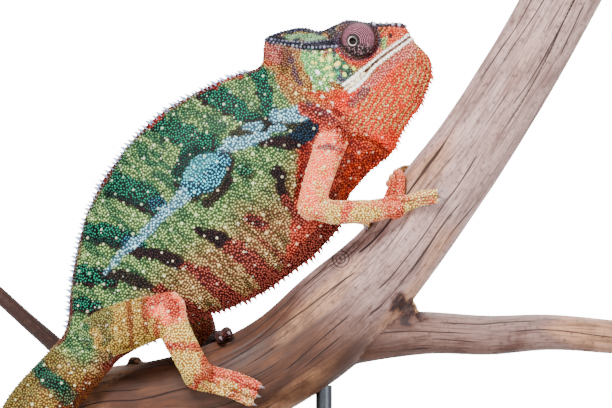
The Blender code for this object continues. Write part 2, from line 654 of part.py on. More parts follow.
def make_eyes():
    for side, name in ((NEAR, "right"), (FAR, "left")):
        centre = np.array((EYE_CENTRE[0], side * EYE_DEPTH, EYE_CENTRE[1]))
        axis = eye_axis(side)
        turret = ball(f"eye_turret_{name}", centre, TURRET_RADIUS, 16, 9, axis, "turret_skin")
        eyeball_centre = centre + axis * (TURRET_RADIUS - EYEBALL_SINK)
        cavity = ball("cavity", eyeball_centre, EYEBALL_RADIUS + GAP, 10, 6, axis)
        inner = eyeball_centre
        outer = centre + axis * (TURRET_RADIUS + 2.0)
        opening = tube("opening", ((*inner, EYE_OPENING), (*outer, EYE_OPENING * 1.25)), 2, around=10,
                       round_start=False, round_end=False)
        apply_boolean(turret, "DIFFERENCE", [cavity, opening])
        ball(f"eyeball_{name}", eyeball_centre, EYEBALL_RADIUS, 10, 6, axis, "eyeball")


def make_trunk(flank):
    """Neck, torso and tail lengths along one flank, with their crest spines."""
    dice = random.Random(23)
    knots = flank.knots
    vent = knots[VENT + 1]
    pieces = [("neck", 0.0, knots[NECK_END], NECK_RINGS, "red_skin", BACK_SPINE, THROAT_SPINE),
              ("torso", knots[NECK_END], vent, TORSO_RINGS, "green_skin", BACK_SPINE, BELLY_SPINE)]
    ends = [vent + cut for cut in TAIL_CUTS[1:]] + [knots[-1]]
    for index, (cut, end, count) in enumerate(zip(TAIL_CUTS, ends, TAIL_RINGS)):
        back = TAIL_SPINE if index < TAIL_SPINED else None
        pieces.append((f"tail_length_{index + 1}", vent + cut, end, count, "green_skin", back, None))
    for name, start, end, count, colour, back, belly in pieces:
        points = TAIL_POINTS if name.startswith("tail") else FLANK_POINTS
        rings = flank.piece_rings(start, end, count, end_gap=end < knots[-1], points=points)
        piece = skin_rings(name, rings, colour)
        additions = []
        for size, belly_side in ((back, False), (belly, True)):
            if size:
                line, middles = edge_line(flank, start + SPINE_INSET, end - SPINE_INSET, belly_side)
                additions += outline_spines(line, middles, size, dice)
        if additions:
            apply_boolean(piece, "UNION", additions)


def nearest_on_route(route, x, z):
    """The axis point and radius of a route nearest to a flank point."""
    route = np.asarray(route, float)
    knots = lengths_along(route[:, :3])
    fine = spline(knots, route, np.linspace(0, knots[-1], 300))
    return fine[np.argmin(np.hypot(fine[:, 0] - x, fine[:, 2] - z))]


def on_branch(x, z, side, clearance):
    """The point over (x, z) that lies on the branch's near or far surface, `clearance` above it."""
    ax, ay, az, radius = nearest_on_route(BRANCH_ROUTE, x, z)
    reach = radius + clearance
    away = math.hypot(x - ax, z - az)
    if away > reach:
        return (ax + (x - ax) * reach / away, ay, az + (z - az) * reach / away)
    return (x, ay + side * math.sqrt(reach * reach - away * away), z)


def toe_routes(bundle, count, toe_radius):
    """Routes of the toes that lie side by side in one bundle, parted further towards their tips."""
    middle = np.array([on_branch(x, z, side, toe_radius + GAP) for x, z, side in bundle])
    headings = np.gradient(middle, axis=0)
    shares = np.linspace(0.0, 1.0, len(middle))
    routes = []
    for toe in range(count):
        offset = (toe - (count - 1) / 2) * TOE_SPREAD * toe_radius
        route = []
        for place, heading, share in zip(middle, headings, shares):
            axis = nearest_on_route(BRANCH_ROUTE, place[0], place[2])[:3]
            out = place - axis
            beside = np.cross(heading, out)
            beside /= np.linalg.norm(beside)
            moved = out + beside * offset * (TOE_START_SPREAD + (1 - TOE_START_SPREAD) * share)
            moved *= np.linalg.norm(out) / np.linalg.norm(moved)
            route.append((*(axis + moved), toe_radius * (1 + (TOE_TAPER - 1) * share)))
        routes.append(route)
    return routes


def claw(route):
    """A claw at the end of a toe, bent towards the branch."""
    end, before = np.array(route[-1][:3]), np.array(route[-2][:3])
    way = end - before
    way /= np.linalg.norm(way)
    return spine("claw", end + way * route[-1][3] * 0.6, way, CLAW_LENGTH, CLAW_RADIUS)


def branch_tube(name, route, count, around=STEM_SIDES, grow=0.0, finish_name=None):
    return tube(name, route, count, around, finish_name, grow=grow, round_start=False, round_end=False)


def stem_cutter():
    """The branch's main stem, grown by the gap, to cut what lies against it."""
    return branch_tube("stem", BRANCH_ROUTE, STEM_RINGS, grow=GAP)


def knots_of_stem(grow=0.0):
    return [ball("knot", (x, y, z), radius + grow, 8, 6) for x, y, z, radius in KNOTS]


def trunk_cutter(flank):
    places = np.linspace(0.0, flank.knots[VENT + 3], CUTTER_RINGS)
    return skin_rings("trunk", flank.rings(places, GAP))


def make_leg(names, upper, lower, bundles, sizes, flank):
    """Upper leg, lower leg and foot, each cut clear of what it grows from and of the branch."""
    upper_name, lower_name, foot_name = names
    palm_radius, toe_radius = sizes
    leg = tube(upper_name, upper, 6, finish_name="limb_skin")
    apply_boolean(leg, "DIFFERENCE", [trunk_cutter(flank)])
    low = tube(lower_name, lower, 7, finish_name="limb_skin", round_end=False)
    apply_boolean(low, "DIFFERENCE", [tube("upper", upper, 6, grow=GAP), trunk_cutter(flank), stem_cutter()])
    wrist, before = np.array(lower[-1]), np.array(lower[-2])
    way = (wrist - before)[:3] / np.linalg.norm((wrist - before)[:3])
    palm = on_branch(*bundles[0][0][0], palm_radius * PALM_CLEARANCE)
    start = wrist[:3] + way * GAP
    foot = tube(foot_name, ((*start, wrist[3]), (*palm, palm_radius)), 3, finish_name="limb_skin",
                round_start=False)
    additions = []
    for bundle, count in bundles:
        for route in toe_routes(bundle, count, toe_radius):
            rooted = [(*palm, toe_radius)] + route
            additions.append(tube("toe", rooted, TOE_RINGS, TOE_SIDES, round_start=False,
                                  turns=TOE_DOME_TURNS))
            additions.append(claw(route))
    apply_boolean(foot, "UNION", additions)
    apply_boolean(foot, "DIFFERENCE", [tube("lower", lower, 7, grow=GAP, round_end=False), stem_cutter()])


def make_perch():
    """The forked branch: main stem, side branch and the stub of a twig."""
    stem = branch_tube("perch_stem", BRANCH_ROUTE, STEM_RINGS, finish_name="wood")
    apply_boolean(stem, "UNION", knots_of_stem())
    limbs = (("perch_side_branch", SIDE_BRANCH_ROUTE, 9, 12), ("perch_twig", TWIG_ROUTE, 6, 8))
    for name, route, count, around in limbs:
        limb = branch_tube(name, route, count, around, finish_name="wood")
        apply_boolean(limb, "DIFFERENCE", [stem_cutter()] + knots_of_stem(GAP))


def rounded_plate(name, length, depth, thickness, corner, finish_name):
    points = []
    for cx, cy, first in ((1, 1, 0), (-1, 1, 90), (-1, -1, 180), (1, -1, 270)):
        for step in range(7):
            angle = math.radians(first + 15 * step)
            points.append((cx * (length / 2 - corner) + corner * math.cos(angle),
                           cy * (depth / 2 - corner) + corner * math.sin(angle)))
    rings = [[(x, y, z) for x, y in points] for z in (0.0, thickness)]
    return skin_rings(name, rings, finish_name)


def make_stand():
    rounded_plate("stand_base", BASE_LENGTH, BASE_DEPTH, BASE_THICKNESS, BASE_CORNER, "stand")
    for name, x in ROD_PLACES:
        ax, ay, az, radius = nearest_on_route(BRANCH_ROUTE, x, 0.0)
        foot = (x, ay, BASE_THICKNESS + GAP, ROD_RADIUS)
        head = (x, ay, az, ROD_RADIUS)
        rod = tube(name, (foot, head), 2, 12, "stand", round_start=False, round_end=False)
        apply_boolean(rod, "DIFFERENCE", [stem_cutter()])


def shade_all():
    for thing in bpy.context.scene.collection.objects:
        thing.data.shade_smooth()
        thing.data.set_sharp_from_angle(angle=math.radians(40))


def main():
    clear_scene()
    head = head_flank()
    trunk = trunk_flank()
    make_head(head)
    make_eyes()
    make_trunk(trunk)
    make_leg(("foreleg_upper_right", "foreleg_lower_right", "forefoot_right"),
             ARM_RIGHT, FOREARM_RIGHT, FORE_TOES_RIGHT, FORE_SIZES, trunk)
    make_leg(("foreleg_upper_left", "foreleg_lower_left", "forefoot_left"),
             ARM_LEFT, FOREARM_LEFT, FORE_TOES_LEFT, FORE_SIZES, trunk)
    make_leg(("hindleg_upper_right", "hindleg_lower_right", "hindfoot_right"),
             THIGH_RIGHT, SHIN_RIGHT, HIND_TOES_RIGHT, HIND_SIZES, trunk)
    make_leg(("hindleg_upper_left", "hindleg_lower_left", "hindfoot_left"),
             THIGH_LEFT, SHIN_LEFT, HIND_TOES_LEFT, HIND_SIZES, trunk)
    make_perch()
    make_stand()
    shade_all()


main()
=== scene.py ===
# %% [markdown]
# This lesson builds the looks of a panther chameleon that grips a forked branch on a plain display stand.
# The imported solids are the fixed frame: they give every place and size, and each piece made here lies on them.
# The frame is loaded first. The finished model has to stay inside it.

# %% Load the frame
import itertools
import math
import time

import bmesh
import bpy
import numpy as np
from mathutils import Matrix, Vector, kdtree
from mathutils.bvhtree import BVHTree


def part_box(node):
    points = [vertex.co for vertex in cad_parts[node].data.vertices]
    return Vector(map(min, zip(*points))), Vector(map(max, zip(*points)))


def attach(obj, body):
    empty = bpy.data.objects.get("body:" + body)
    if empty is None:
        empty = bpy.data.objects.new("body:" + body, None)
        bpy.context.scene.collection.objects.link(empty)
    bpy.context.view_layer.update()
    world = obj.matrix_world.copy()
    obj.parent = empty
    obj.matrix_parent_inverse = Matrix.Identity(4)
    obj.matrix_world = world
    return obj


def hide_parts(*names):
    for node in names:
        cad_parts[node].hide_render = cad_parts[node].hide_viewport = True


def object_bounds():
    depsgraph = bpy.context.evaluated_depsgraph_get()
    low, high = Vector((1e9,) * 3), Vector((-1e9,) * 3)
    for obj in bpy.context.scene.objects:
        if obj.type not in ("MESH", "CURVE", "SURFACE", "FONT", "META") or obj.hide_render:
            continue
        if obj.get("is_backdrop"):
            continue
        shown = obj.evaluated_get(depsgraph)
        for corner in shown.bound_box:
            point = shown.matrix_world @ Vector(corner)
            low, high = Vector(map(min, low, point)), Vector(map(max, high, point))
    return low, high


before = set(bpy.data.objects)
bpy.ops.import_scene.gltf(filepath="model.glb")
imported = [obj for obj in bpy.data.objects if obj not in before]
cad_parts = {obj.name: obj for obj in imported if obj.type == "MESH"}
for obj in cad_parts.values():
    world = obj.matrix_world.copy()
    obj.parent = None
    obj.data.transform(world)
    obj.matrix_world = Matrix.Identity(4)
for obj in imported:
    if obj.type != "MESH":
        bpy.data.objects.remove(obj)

STARTED = time.time()
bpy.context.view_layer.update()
print("nodes in the frame:", len(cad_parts))

# %% [markdown]
# The animal is measured in millimetres, as the solids are, and made in metres at the very end.
# Marks on the skin are measured in the picture's own steps of 0.43 mm, which is how far apart two picture
# points lie at the animal's middle plane, so that a mark can be compared with the picture at once.

# %% Units and small helpers
MM = 0.001
STEP = 0.43
STEP_X0 = 296.0           # step column that lies over x = 0
STEP_Z0 = 580.0           # step row that lies at z = 0
NEAR = -1
FAR = 1


def on_plane(columns, rows):
    """Millimetres (x, z) of a place given in picture steps."""
    return (np.asarray(columns, float) - STEP_X0) * STEP, (STEP_Z0 - np.asarray(rows, float)) * STEP


def in_steps(points):
    """Picture steps (column, row) of points (x, y, z) in millimetres."""
    points = np.asarray(points, float)
    return points[:, 0] / STEP + STEP_X0, STEP_Z0 - points[:, 2] / STEP


def spline(knots, values, at):
    """A smooth curve through rows of values given at rising knots, read at the places `at`."""
    knots = np.asarray(knots, float)
    values = np.asarray(values, float)
    at = np.asarray(at, float)
    flat = values.reshape(len(knots), -1)
    step = np.diff(knots)[:, None]
    slope = np.diff(flat, axis=0) / step
    inner = (slope[:-1] * step[1:] + slope[1:] * step[:-1]) / (step[1:] + step[:-1])
    tangent = np.concatenate([slope[:1], inner, slope[-1:]])
    index = np.clip(np.searchsorted(knots, at, side="right") - 1, 0, len(knots) - 2)
    width = (knots[index + 1] - knots[index])[:, None]
    t = ((at - knots[index])[:, None]) / width
    result = ((2 * t**3 - 3 * t**2 + 1) * flat[index] + (t**3 - 2 * t**2 + t) * width * tangent[index]
              + (3 * t**2 - 2 * t**3) * flat[index + 1] + (t**3 - t**2) * width * tangent[index + 1])
    return result.reshape((len(at),) + values.shape[1:])


def lengths_along(points):
    """The length of the route up to each of its points."""
    steps = np.linalg.norm(np.diff(np.asarray(points, float), axis=0), axis=1)
    return np.concatenate([[0.0], np.cumsum(steps)])


def smoothly(value, start, end):
    """0 before `start`, 1 after `end`, and a soft step between them."""
    share = np.clip((np.asarray(value, float) - start) / (end - start), 0, 1)
    return share * share * (3 - 2 * share)


def bump(distance, width):
    """1 at no distance, fading softly to 0 over about twice the width."""
    return np.exp(-(np.asarray(distance, float) / width) ** 2)


# %% [markdown]
# Skin marks have ragged edges, and no two scales are alike, so a soft random pattern is needed often.
# Blender has one in its mathutils, but it reads one point at a time. This one reads all points at once:
# it gives every whole-number cell a repeatable random value and blends the eight nearest ones.

# %% Random patterns
def cell_value(cells, seed):
    mixed = cells[..., 0] * 73856093 ^ cells[..., 1] * 19349663 ^ cells[..., 2] * 83492791 ^ (seed * 2654435761)
    mixed = (mixed ^ (mixed >> 13)) * 1274126177
    return ((mixed ^ (mixed >> 16)) & 0xFFFF) / 65535.0


def noise(points, size, seed=0):
    """Smooth random values from -1 to 1 that change over about `size` millimetres."""
    place = np.asarray(points, float) / size
    base = np.floor(place).astype(np.int64)
    part = place - base
    part = part * part * (3 - 2 * part)
    total = np.zeros(len(place))
    for corner in itertools.product((0, 1), repeat=3):
        corner = np.array(corner)
        weight = np.prod(np.where(corner, part, 1 - part), axis=-1)
        total += weight * cell_value(base + corner, seed)
    return total * 2 - 1


def layered_noise(points, size, seed=0):
    """Three layers of noise, each half as large and half as strong as the one before."""
    total = noise(points, size, seed) + 0.5 * noise(points, size / 2, seed + 1)
    return (total + 0.25 * noise(points, size / 4, seed + 2)) / 1.5


sample = noise(np.random.default_rng(1).uniform(-50, 50, (2000, 3)), 5.0)
print("noise from", round(sample.min(), 2), "to", round(sample.max(), 2))

# %% [markdown]
# A chameleon's body is a leaf seen from the front: tall, thin, and sharp along the back and the belly.
# It is described by sections from the snout to the tip of the tail. Each has a point on the back line,
# a point on the belly line and half widths between them. The same named sizes shaped the solids.

# %% Sections of the head and the trunk
LEVELS = (0.0, 0.05, 0.13, 0.22, 0.35, 0.48, 0.6, 0.75, 0.9, 1.0)
EDGE_WIDTH = 0.4

# From the nape to the snout: top point, throat point, half widths at the levels
HEAD_SECTIONS = (
    ((-14.6, 223.6), (40.9, 182.8), (0.5, 3.2, 6.5, 9.3, 12.0, 13.7, 14.0, 12.3, 8.0, 0.4)),
    ((-14.4, 229.2), (42.3, 184.8), (0.6, 3.4, 6.8, 9.5, 12.2, 13.9, 14.1, 12.2, 7.9, 0.4)),
    ((-13.4, 233.0), (43.4, 187.0), (0.9, 3.6, 7.2, 9.8, 12.4, 14.1, 14.3, 12.0, 7.8, 0.4)),
    ((-10.0, 234.7), (44.4, 189.0), (1.0, 3.2, 7.8, 9.8, 12.6, 14.4, 14.4, 12.0, 7.4, 0.4)),
    ((-4.7, 236.5), (45.6, 191.3), (1.0, 3.2, 9.0, 9.7, 12.8, 14.8, 14.6, 12.0, 7.0, 0.4)),
    ((3.0, 237.8), (48.2, 195.7), (1.0, 3.2, 6.8, 11.2, 12.2, 14.6, 14.0, 11.2, 6.5, 0.4)),
    ((10.3, 236.1), (50.7, 199.5), (1.2, 4.2, 9.8, 11.8, 12.0, 13.4, 12.6, 10.2, 6.0, 0.4)),
    ((17.2, 239.1), (53.8, 203.4), (3.0, 8.5, 11.2, 10.4, 9.8, 12.2, 11.4, 9.2, 5.0, 0.4)),
    ((24.1, 240.8), (56.3, 209.4), (4.5, 10.3, 10.2, 9.0, 9.2, 10.8, 10.0, 8.2, 4.5, 0.4)),
    ((30.1, 239.9), (58.5, 215.9), (5.0, 9.2, 9.2, 8.8, 9.0, 9.6, 9.0, 7.2, 4.5, 0.4)),
    ((35.3, 239.5), (58.5, 221.0), (5.0, 8.4, 8.5, 8.2, 8.3, 8.5, 7.9, 6.5, 4.2, 0.4)),
    ((40.4, 239.5), (55.5, 227.5), (5.0, 7.4, 7.8, 7.7, 7.6, 7.4, 7.0, 6.0, 3.8, 0.4)),
    ((46.0, 239.5), (52.5, 229.2), (4.5, 6.0, 6.6, 6.6, 6.3, 6.0, 5.6, 4.8, 3.2, 0.4)),
    ((47.7, 236.9), (50.7, 232.2), (2.5, 3.2, 3.6, 3.8, 3.8, 3.6, 3.2, 2.6, 1.6, 0.4)),
)

# From the nape backwards: back point, belly point, half width, how sharply back and belly close
TRUNK_SECTIONS = (
    ((-16.8, 220.6), (35.7, 177.6), 14.2, 0.62, 0.55),
    ((-20.6, 219.3), (29.7, 172.9), 14.4, 0.66, 0.55),
    ((-24.9, 218.0), (23.2, 163.8), 14.8, 0.70, 0.55),
    ((-31.8, 215.4), (20.2, 153.9), 15.4, 0.74, 0.55),
    ((-41.7, 210.7), (14.6, 146.2), 16.2, 0.78, 0.55),
    ((-55.0, 203.4), (6.9, 138.5), 16.8, 0.80, 0.55),
    ((-65.4, 194.8), (-2.6, 131.2), 17.0, 0.80, 0.55),
    ((-77.0, 181.5), (-14.6, 123.0), 17.0, 0.80, 0.55),
    ((-85.1, 169.0), (-26.2, 117.4), 16.6, 0.78, 0.55),
    ((-91.2, 155.2), (-37.8, 113.5), 15.8, 0.74, 0.55),
    ((-94.6, 141.9), (-49.9, 109.6), 14.6, 0.70, 0.52),
    ((-97.2, 125.1), (-62.8, 101.9), 13.0, 0.62, 0.5),
    ((-99.8, 106.6), (-76.1, 94.2), 11.8, 0.56, 0.5),
    ((-107.9, 97.0), (-85.6, 83.0), 11.4, 0.54, 0.5),
    ((-116.1, 88.4), (-95.5, 72.2), 11.2, 0.52, 0.5),
)
VENT = 12
TAIL_FREE_LENGTH = 185.0
TAIL_START_RADIUS = 12.4
TAIL_FIRST = (-111.9, 74.4)
TAIL_FIRST_HEADING = 228.6
TAIL_CURL = 0.024
TAIL_CURL_GROWTH = 130.0
TAIL_THINNING = ((0.0, 1.0), (0.19, 0.77), (0.38, 0.57), (0.57, 0.4), (0.78, 0.25), (1.0, 0.09))
TAIL_FLATNESS = 0.88
TAIL_SIDE = -3.0
TAIL_STEPS = 400
TAIL_SECTION_EVERY = 10


def leaf(half_width, back_power, belly_power):
    """Half widths at the levels for a section that is narrow at the back and at the belly."""
    level = np.asarray(LEVELS)
    widest = back_power / (back_power + belly_power)
    top = widest**back_power * (1 - widest)**belly_power
    widths = half_width * level**back_power * (1 - level)**belly_power / top
    return np.maximum(widths, EDGE_WIDTH)


def tail_route():
    """Place, heading and radius along the free tail, which curls towards the belly side."""
    along = np.linspace(0.0, TAIL_FREE_LENGTH, TAIL_STEPS)
    bend = TAIL_CURL * np.exp(along / TAIL_CURL_GROWTH)
    step = along[1] - along[0]
    turned = np.concatenate([[0.0], np.cumsum((bend[1:] + bend[:-1]) / 2 * step)])
    heading = math.radians(TAIL_FIRST_HEADING) + turned
    middle = (heading[1:] + heading[:-1]) / 2
    x, z = [first + np.concatenate([[0.0], np.cumsum(turn(middle) * step)])
            for first, turn in zip(TAIL_FIRST, (np.cos, np.sin))]
    share, thinning = np.transpose(TAIL_THINNING)
    radius = TAIL_START_RADIUS * spline(share, thinning, along / TAIL_FREE_LENGTH)
    return np.column_stack([x, z, heading, radius])


class Body:
    """The animal's sections in order from the snout to the tip of the tail."""

    def __init__(self):
        sections = [(top, bottom, widths, 0.0) for top, bottom, widths in reversed(HEAD_SECTIONS)]
        for index, (top, bottom, half_width, back_power, belly_power) in enumerate(TRUNK_SECTIONS):
            side = TAIL_SIDE * max(0, index - VENT) / (len(TRUNK_SECTIONS) - VENT)
            sections.append((top, bottom, leaf(half_width, back_power, belly_power), side))
        for x, z, heading, radius in tail_route()[TAIL_SECTION_EVERY::TAIL_SECTION_EVERY]:
            outwards = heading - math.pi / 2
            reach = radius * np.array((math.cos(outwards), math.sin(outwards)))
            widths = leaf(radius * TAIL_FLATNESS, 0.5, 0.5)
            sections.append(((x, z) + reach, (x, z) - reach, widths, TAIL_SIDE))
        self.rows = np.array([(*top, *bottom, *widths, side) for top, bottom, widths, side in sections], float)
        self.knots = (lengths_along(self.rows[:, 0:2]) + lengths_along(self.rows[:, 2:4])) / 2
        self.nape = self.knots[len(HEAD_SECTIONS) - 1]
        self.vent = self.knots[len(HEAD_SECTIONS) + VENT]
        self.end = self.knots[-1]

    def read(self, at):
        """Back points, belly points, half widths and sideways places of the sections at `at`."""
        values = spline(self.knots, self.rows, at)
        return values[:, 0:2], values[:, 2:4], values[:, 4:-1], values[:, -1]

    def rings(self, at, points):
        """Closed rings of (x, y, z) round the sections at `at`."""
        levels = (1 - np.cos(np.linspace(0, math.pi, points))) / 2
        rings = []
        for top, bottom, width, side in zip(*self.read(at)):
            half = np.maximum(spline(LEVELS, width, levels), EDGE_WIDTH)
            flank = top + levels[:, None] * (bottom - top)
            right, left = [np.stack([flank[:, 0], side + way * half, flank[:, 1]], axis=1) for way in (NEAR, FAR)]
            rings.append(np.concatenate([right, left[::-1]]))
        return np.array(rings)

    def edge(self, start, end, belly, count):
        """The back or belly line and the middle of the section beside each of its points."""
        tops, bottoms, widths, sides = self.read(np.linspace(start, end, count))
        line = bottoms if belly else tops
        return [np.stack([places[:, 0], sides, places[:, 1]], axis=1) for places in (line, (tops + bottoms) / 2)]


body = Body()
print("mean of back and belly lines: to the vent", round(body.vent), "mm, in all", round(body.end), "mm")

# %% [markdown]
# Legs, toes and the branch are tubes along smooth routes. A toe's route is given on the branch's surface,
# so that every toe lies on the wood it grips. Chameleon toes are joined in two bundles that close like tongs:
# two outer and three inner toes on a forefoot, and three outer and two inner ones on a hind foot.

# %% Routes of the legs, toes and branch
BRANCH_ROUTE = (
    (-100.6, 27.0, 66.7, 18.0), (-84.3, 22.0, 72.2, 18.3), (-61.9, 13.0, 75.2, 18.9),
    (-32.7, 5.0, 81.7, 20.2), (-4.3, 4.0, 95.9, 20.8), (15.9, 4.0, 112.4, 21.8),
    (43.8, 4.0, 141.3, 18.2), (60.3, 4.0, 164.6, 18.0), (73.8, 4.0, 183.2, 17.0),
    (96.8, 4.0, 219.3, 16.3), (120.8, 4.0, 261.9, 16.0),
)
SIDE_BRANCH_ROUTE = (
    (20.0, 4.0, 103.5, 12.0), (40.0, 4.0, 105.6, 10.6), (57.2, 4.0, 106.2, 9.4),
    (82.6, 3.0, 105.1, 8.8), (107.5, 2.0, 106.4, 8.0), (140.2, 1.0, 104.1, 7.5),
)
TWIG_ROUTE = (
    (-132.4, 24.0, 125.1, 3.6), (-116.1, 24.0, 110.5, 3.8), (-101.5, 24.0, 97.2, 4.2),
    (-90.0, 23.0, 84.0, 5.2),
)
KNOTS = ((47.0, 0.0, 116.0, 5.2), (-69.8, 14.0, 93.2, 3.0))
LEGS = {
    "foreleg_right": (
        ((16.0, -12.0, 189.5, 7.0), (12.2, -19.0, 180.0, 6.6), (8.6, -23.5, 169.0, 6.3),
         (6.4, -25.0, 160.6, 6.1)),
        ((6.4, -25.0, 160.6, 5.0), (14.6, -24.2, 158.4, 5.3), (25.4, -21.4, 158.4, 5.3),
         (35.0, -17.8, 159.2, 4.9), (39.0, -15.8, 160.2, 4.6)),
        ((((42.0, 160.4, NEAR), (48.0, 162.4, NEAR), (54.0, 164.2, NEAR), (60.0, 165.0, NEAR)), 2),
         (((41.2, 162.0, NEAR), (42.2, 166.0, NEAR), (42.8, 170.0, NEAR), (43.2, 173.4, FAR),
           (46.4, 174.4, FAR)), 3))),
    "foreleg_left": (
        ((14.0, 12.0, 189.0, 7.0), (10.2, 19.0, 180.0, 6.6), (6.6, 24.0, 170.0, 6.3),
         (4.6, 26.0, 162.0, 6.1)),
        ((4.6, 26.0, 162.0, 5.0), (12.6, 27.0, 159.4, 5.3), (22.4, 27.2, 158.6, 5.2),
         (31.0, 26.4, 157.0, 4.9), (34.6, 25.4, 156.0, 4.6)),
        ((((37.0, 152.6, FAR), (43.0, 151.0, FAR), (49.0, 149.0, FAR), (54.4, 147.0, FAR)), 2),
         (((35.0, 155.0, FAR), (32.8, 157.2, FAR), (31.6, 157.0, NEAR), (32.4, 155.2, NEAR)), 3))),
    "hindleg_right": (
        ((-83.0, -6.0, 106.0, 11.0), (-71.0, -13.5, 110.0, 10.6), (-61.5, -19.0, 113.0, 9.6),
         (-54.4, -22.0, 116.6, 7.9)),
        ((-54.4, -22.0, 116.6, 6.8), (-51.8, -23.5, 108.6, 7.0), (-47.4, -24.0, 99.6, 6.7),
         (-43.4, -22.5, 92.2, 6.6)),
        ((((-41.9, 88.6, NEAR), (-34.6, 86.6, NEAR), (-26.6, 84.4, NEAR), (-18.0, 80.6, NEAR)), 3),
         (((-43.2, 92.4, NEAR), (-46.0, 96.6, NEAR), (-47.2, 100.0, NEAR), (-47.6, 100.6, FAR)), 2))),
    "hindleg_left": (
        ((-82.0, 7.0, 107.0, 10.5), (-68.0, 15.0, 113.0, 9.6), (-55.0, 21.0, 118.0, 8.6),
         (-46.5, 24.0, 120.6, 7.6)),
        ((-46.5, 24.0, 120.6, 6.5), (-42.0, 27.5, 111.0, 6.4), (-39.4, 27.8, 101.0, 6.1),
         (-38.0, 26.0, 94.4, 5.7)),
        ((((-37.0, 90.6, FAR), (-30.0, 87.0, FAR), (-23.0, 83.0, FAR), (-17.0, 79.0, FAR)), 3),
         (((-36.4, 94.0, FAR), (-36.0, 100.4, FAR), (-33.4, 104.4, FAR), (-30.6, 105.0, NEAR)), 2))),
}
TOUCH_GAP = 0.3
FORE_SIZES = (5.8, 2.6)   # radii of the palm and of a toe where it leaves the palm
HIND_SIZES = (6.8, 3.1)
PALM_CLEARANCE = 0.8      # of its centre above the branch, in palm radii
TOE_TAPER = 0.68          # radius of a toe's tip, as a share of the toe's
TOE_SPREAD = 1.35
TOE_START_SPREAD = 0.7


def foot_sizes(name):
    return FORE_SIZES if name.startswith("fore") else HIND_SIZES


def route_samples(route, count):
    """Rows along a route: its place and radius, the way ahead, and two directions across."""
    route = np.asarray(route, float)
    knots = lengths_along(route[:, :3])
    fine = spline(knots, route, np.linspace(0, knots[-1], count))
    way = np.gradient(fine[:, :3], axis=0)
    way /= np.linalg.norm(way, axis=1)[:, None]
    side = np.cross(way, (0.0, 1.0, 0.0))
    side /= np.maximum(np.linalg.norm(side, axis=1), 0.1)[:, None]
    return np.hstack([fine, way, side, np.cross(way, side)])


def nearest_on_route(route, x, z):
    """The axis point and radius of a route nearest to a place on the flank."""
    fine = route_samples(route, 300)[:, :4]
    return fine[np.argmin(np.hypot(fine[:, 0] - x, fine[:, 2] - z))]


def on_branch(x, z, side, clearance):
    """The point over (x, z) on the branch's near or far surface, `clearance` above it."""
    ax, ay, az, radius = nearest_on_route(BRANCH_ROUTE, x, z)
    reach = radius + clearance
    away = math.hypot(x - ax, z - az)
    if away > reach:
        return (ax + (x - ax) * reach / away, ay, az + (z - az) * reach / away)
    return (x, ay + side * math.sqrt(reach * reach - away * away), z)


def toe_routes(bundle, count, toe_radius):
    """Routes of the toes that lie side by side in one bundle, parted further towards their tips."""
    middle = np.array([on_branch(x, z, side, toe_radius + TOUCH_GAP) for x, z, side in bundle])
    headings = np.gradient(middle, axis=0)
    shares = np.linspace(0.0, 1.0, len(middle))
    routes = []
    for toe in range(count):
        offset = (toe - (count - 1) / 2) * TOE_SPREAD * toe_radius
        route = []
        for place, heading, share in zip(middle, headings, shares):
            axis = nearest_on_route(BRANCH_ROUTE, place[0], place[2])[:3]
            out = place - axis
            beside = np.cross(heading, out)
            beside /= np.linalg.norm(beside)
            moved = out + beside * offset * (TOE_START_SPREAD + (1 - TOE_START_SPREAD) * share)
            moved *= np.linalg.norm(out) / np.linalg.norm(moved)
            route.append((*(axis + moved), toe_radius * (1 + (TOE_TAPER - 1) * share)))
        routes.append(route)
    return routes


TOES = {name: [route for bundle in leg[2] for route in toe_routes(*bundle, foot_sizes(name)[1])]
        for name, leg in LEGS.items()}
print("toes on each foot:", {name: len(routes) for name, routes in TOES.items()})

# %% [markdown]
# One skin has to cover the animal without a seam, and its parts cross at the shoulders, hips and toes.
# The parts are first made as closed shells that run into each other. A voxel remesh then joins them into
# one surface with even faces, and a few rounds of smoothing take away the voxel steps.

# %% Shells of the body, legs and feet
SKIN_DEPTH = 0.35         # how far the skin lies under the tops of its scales
BODY_RINGS = 330
BODY_POINTS = 27          # on one flank of a ring
DOME_TURNS = (0.4, 0.8, 1.15, 1.45)  # of the rings on a tube's domed end


def loft(rings):
    """Points and faces of a closed mesh through rings of equal count."""
    rings = np.asarray(rings)
    count, around = rings.shape[:2]
    points = np.concatenate([rings.reshape(-1, 3), rings[:1].mean(axis=1), rings[-1:].mean(axis=1)])
    beside = [(here, (here + 1) % around) for here in range(around)]
    faces = [(row + here, row + there, row + around + there, row + around + here)
             for row in range(0, (count - 1) * around, around) for here, there in beside]
    first, last, base = len(points) - 2, len(points) - 1, (count - 1) * around
    for here, there in beside:
        faces += [(first, there, here), (last, base + here, base + there)]
    return points, faces


def lofted(all_rings):
    """Points and faces of many closed shells, numbered through."""
    points, faces, base = [], [], 0
    for rings in all_rings:
        shell_points, shell_faces = loft(rings)
        points.append(shell_points)
        faces += [tuple(index + base for index in face) for face in shell_faces]
        base += len(shell_points)
    return np.concatenate(points), faces


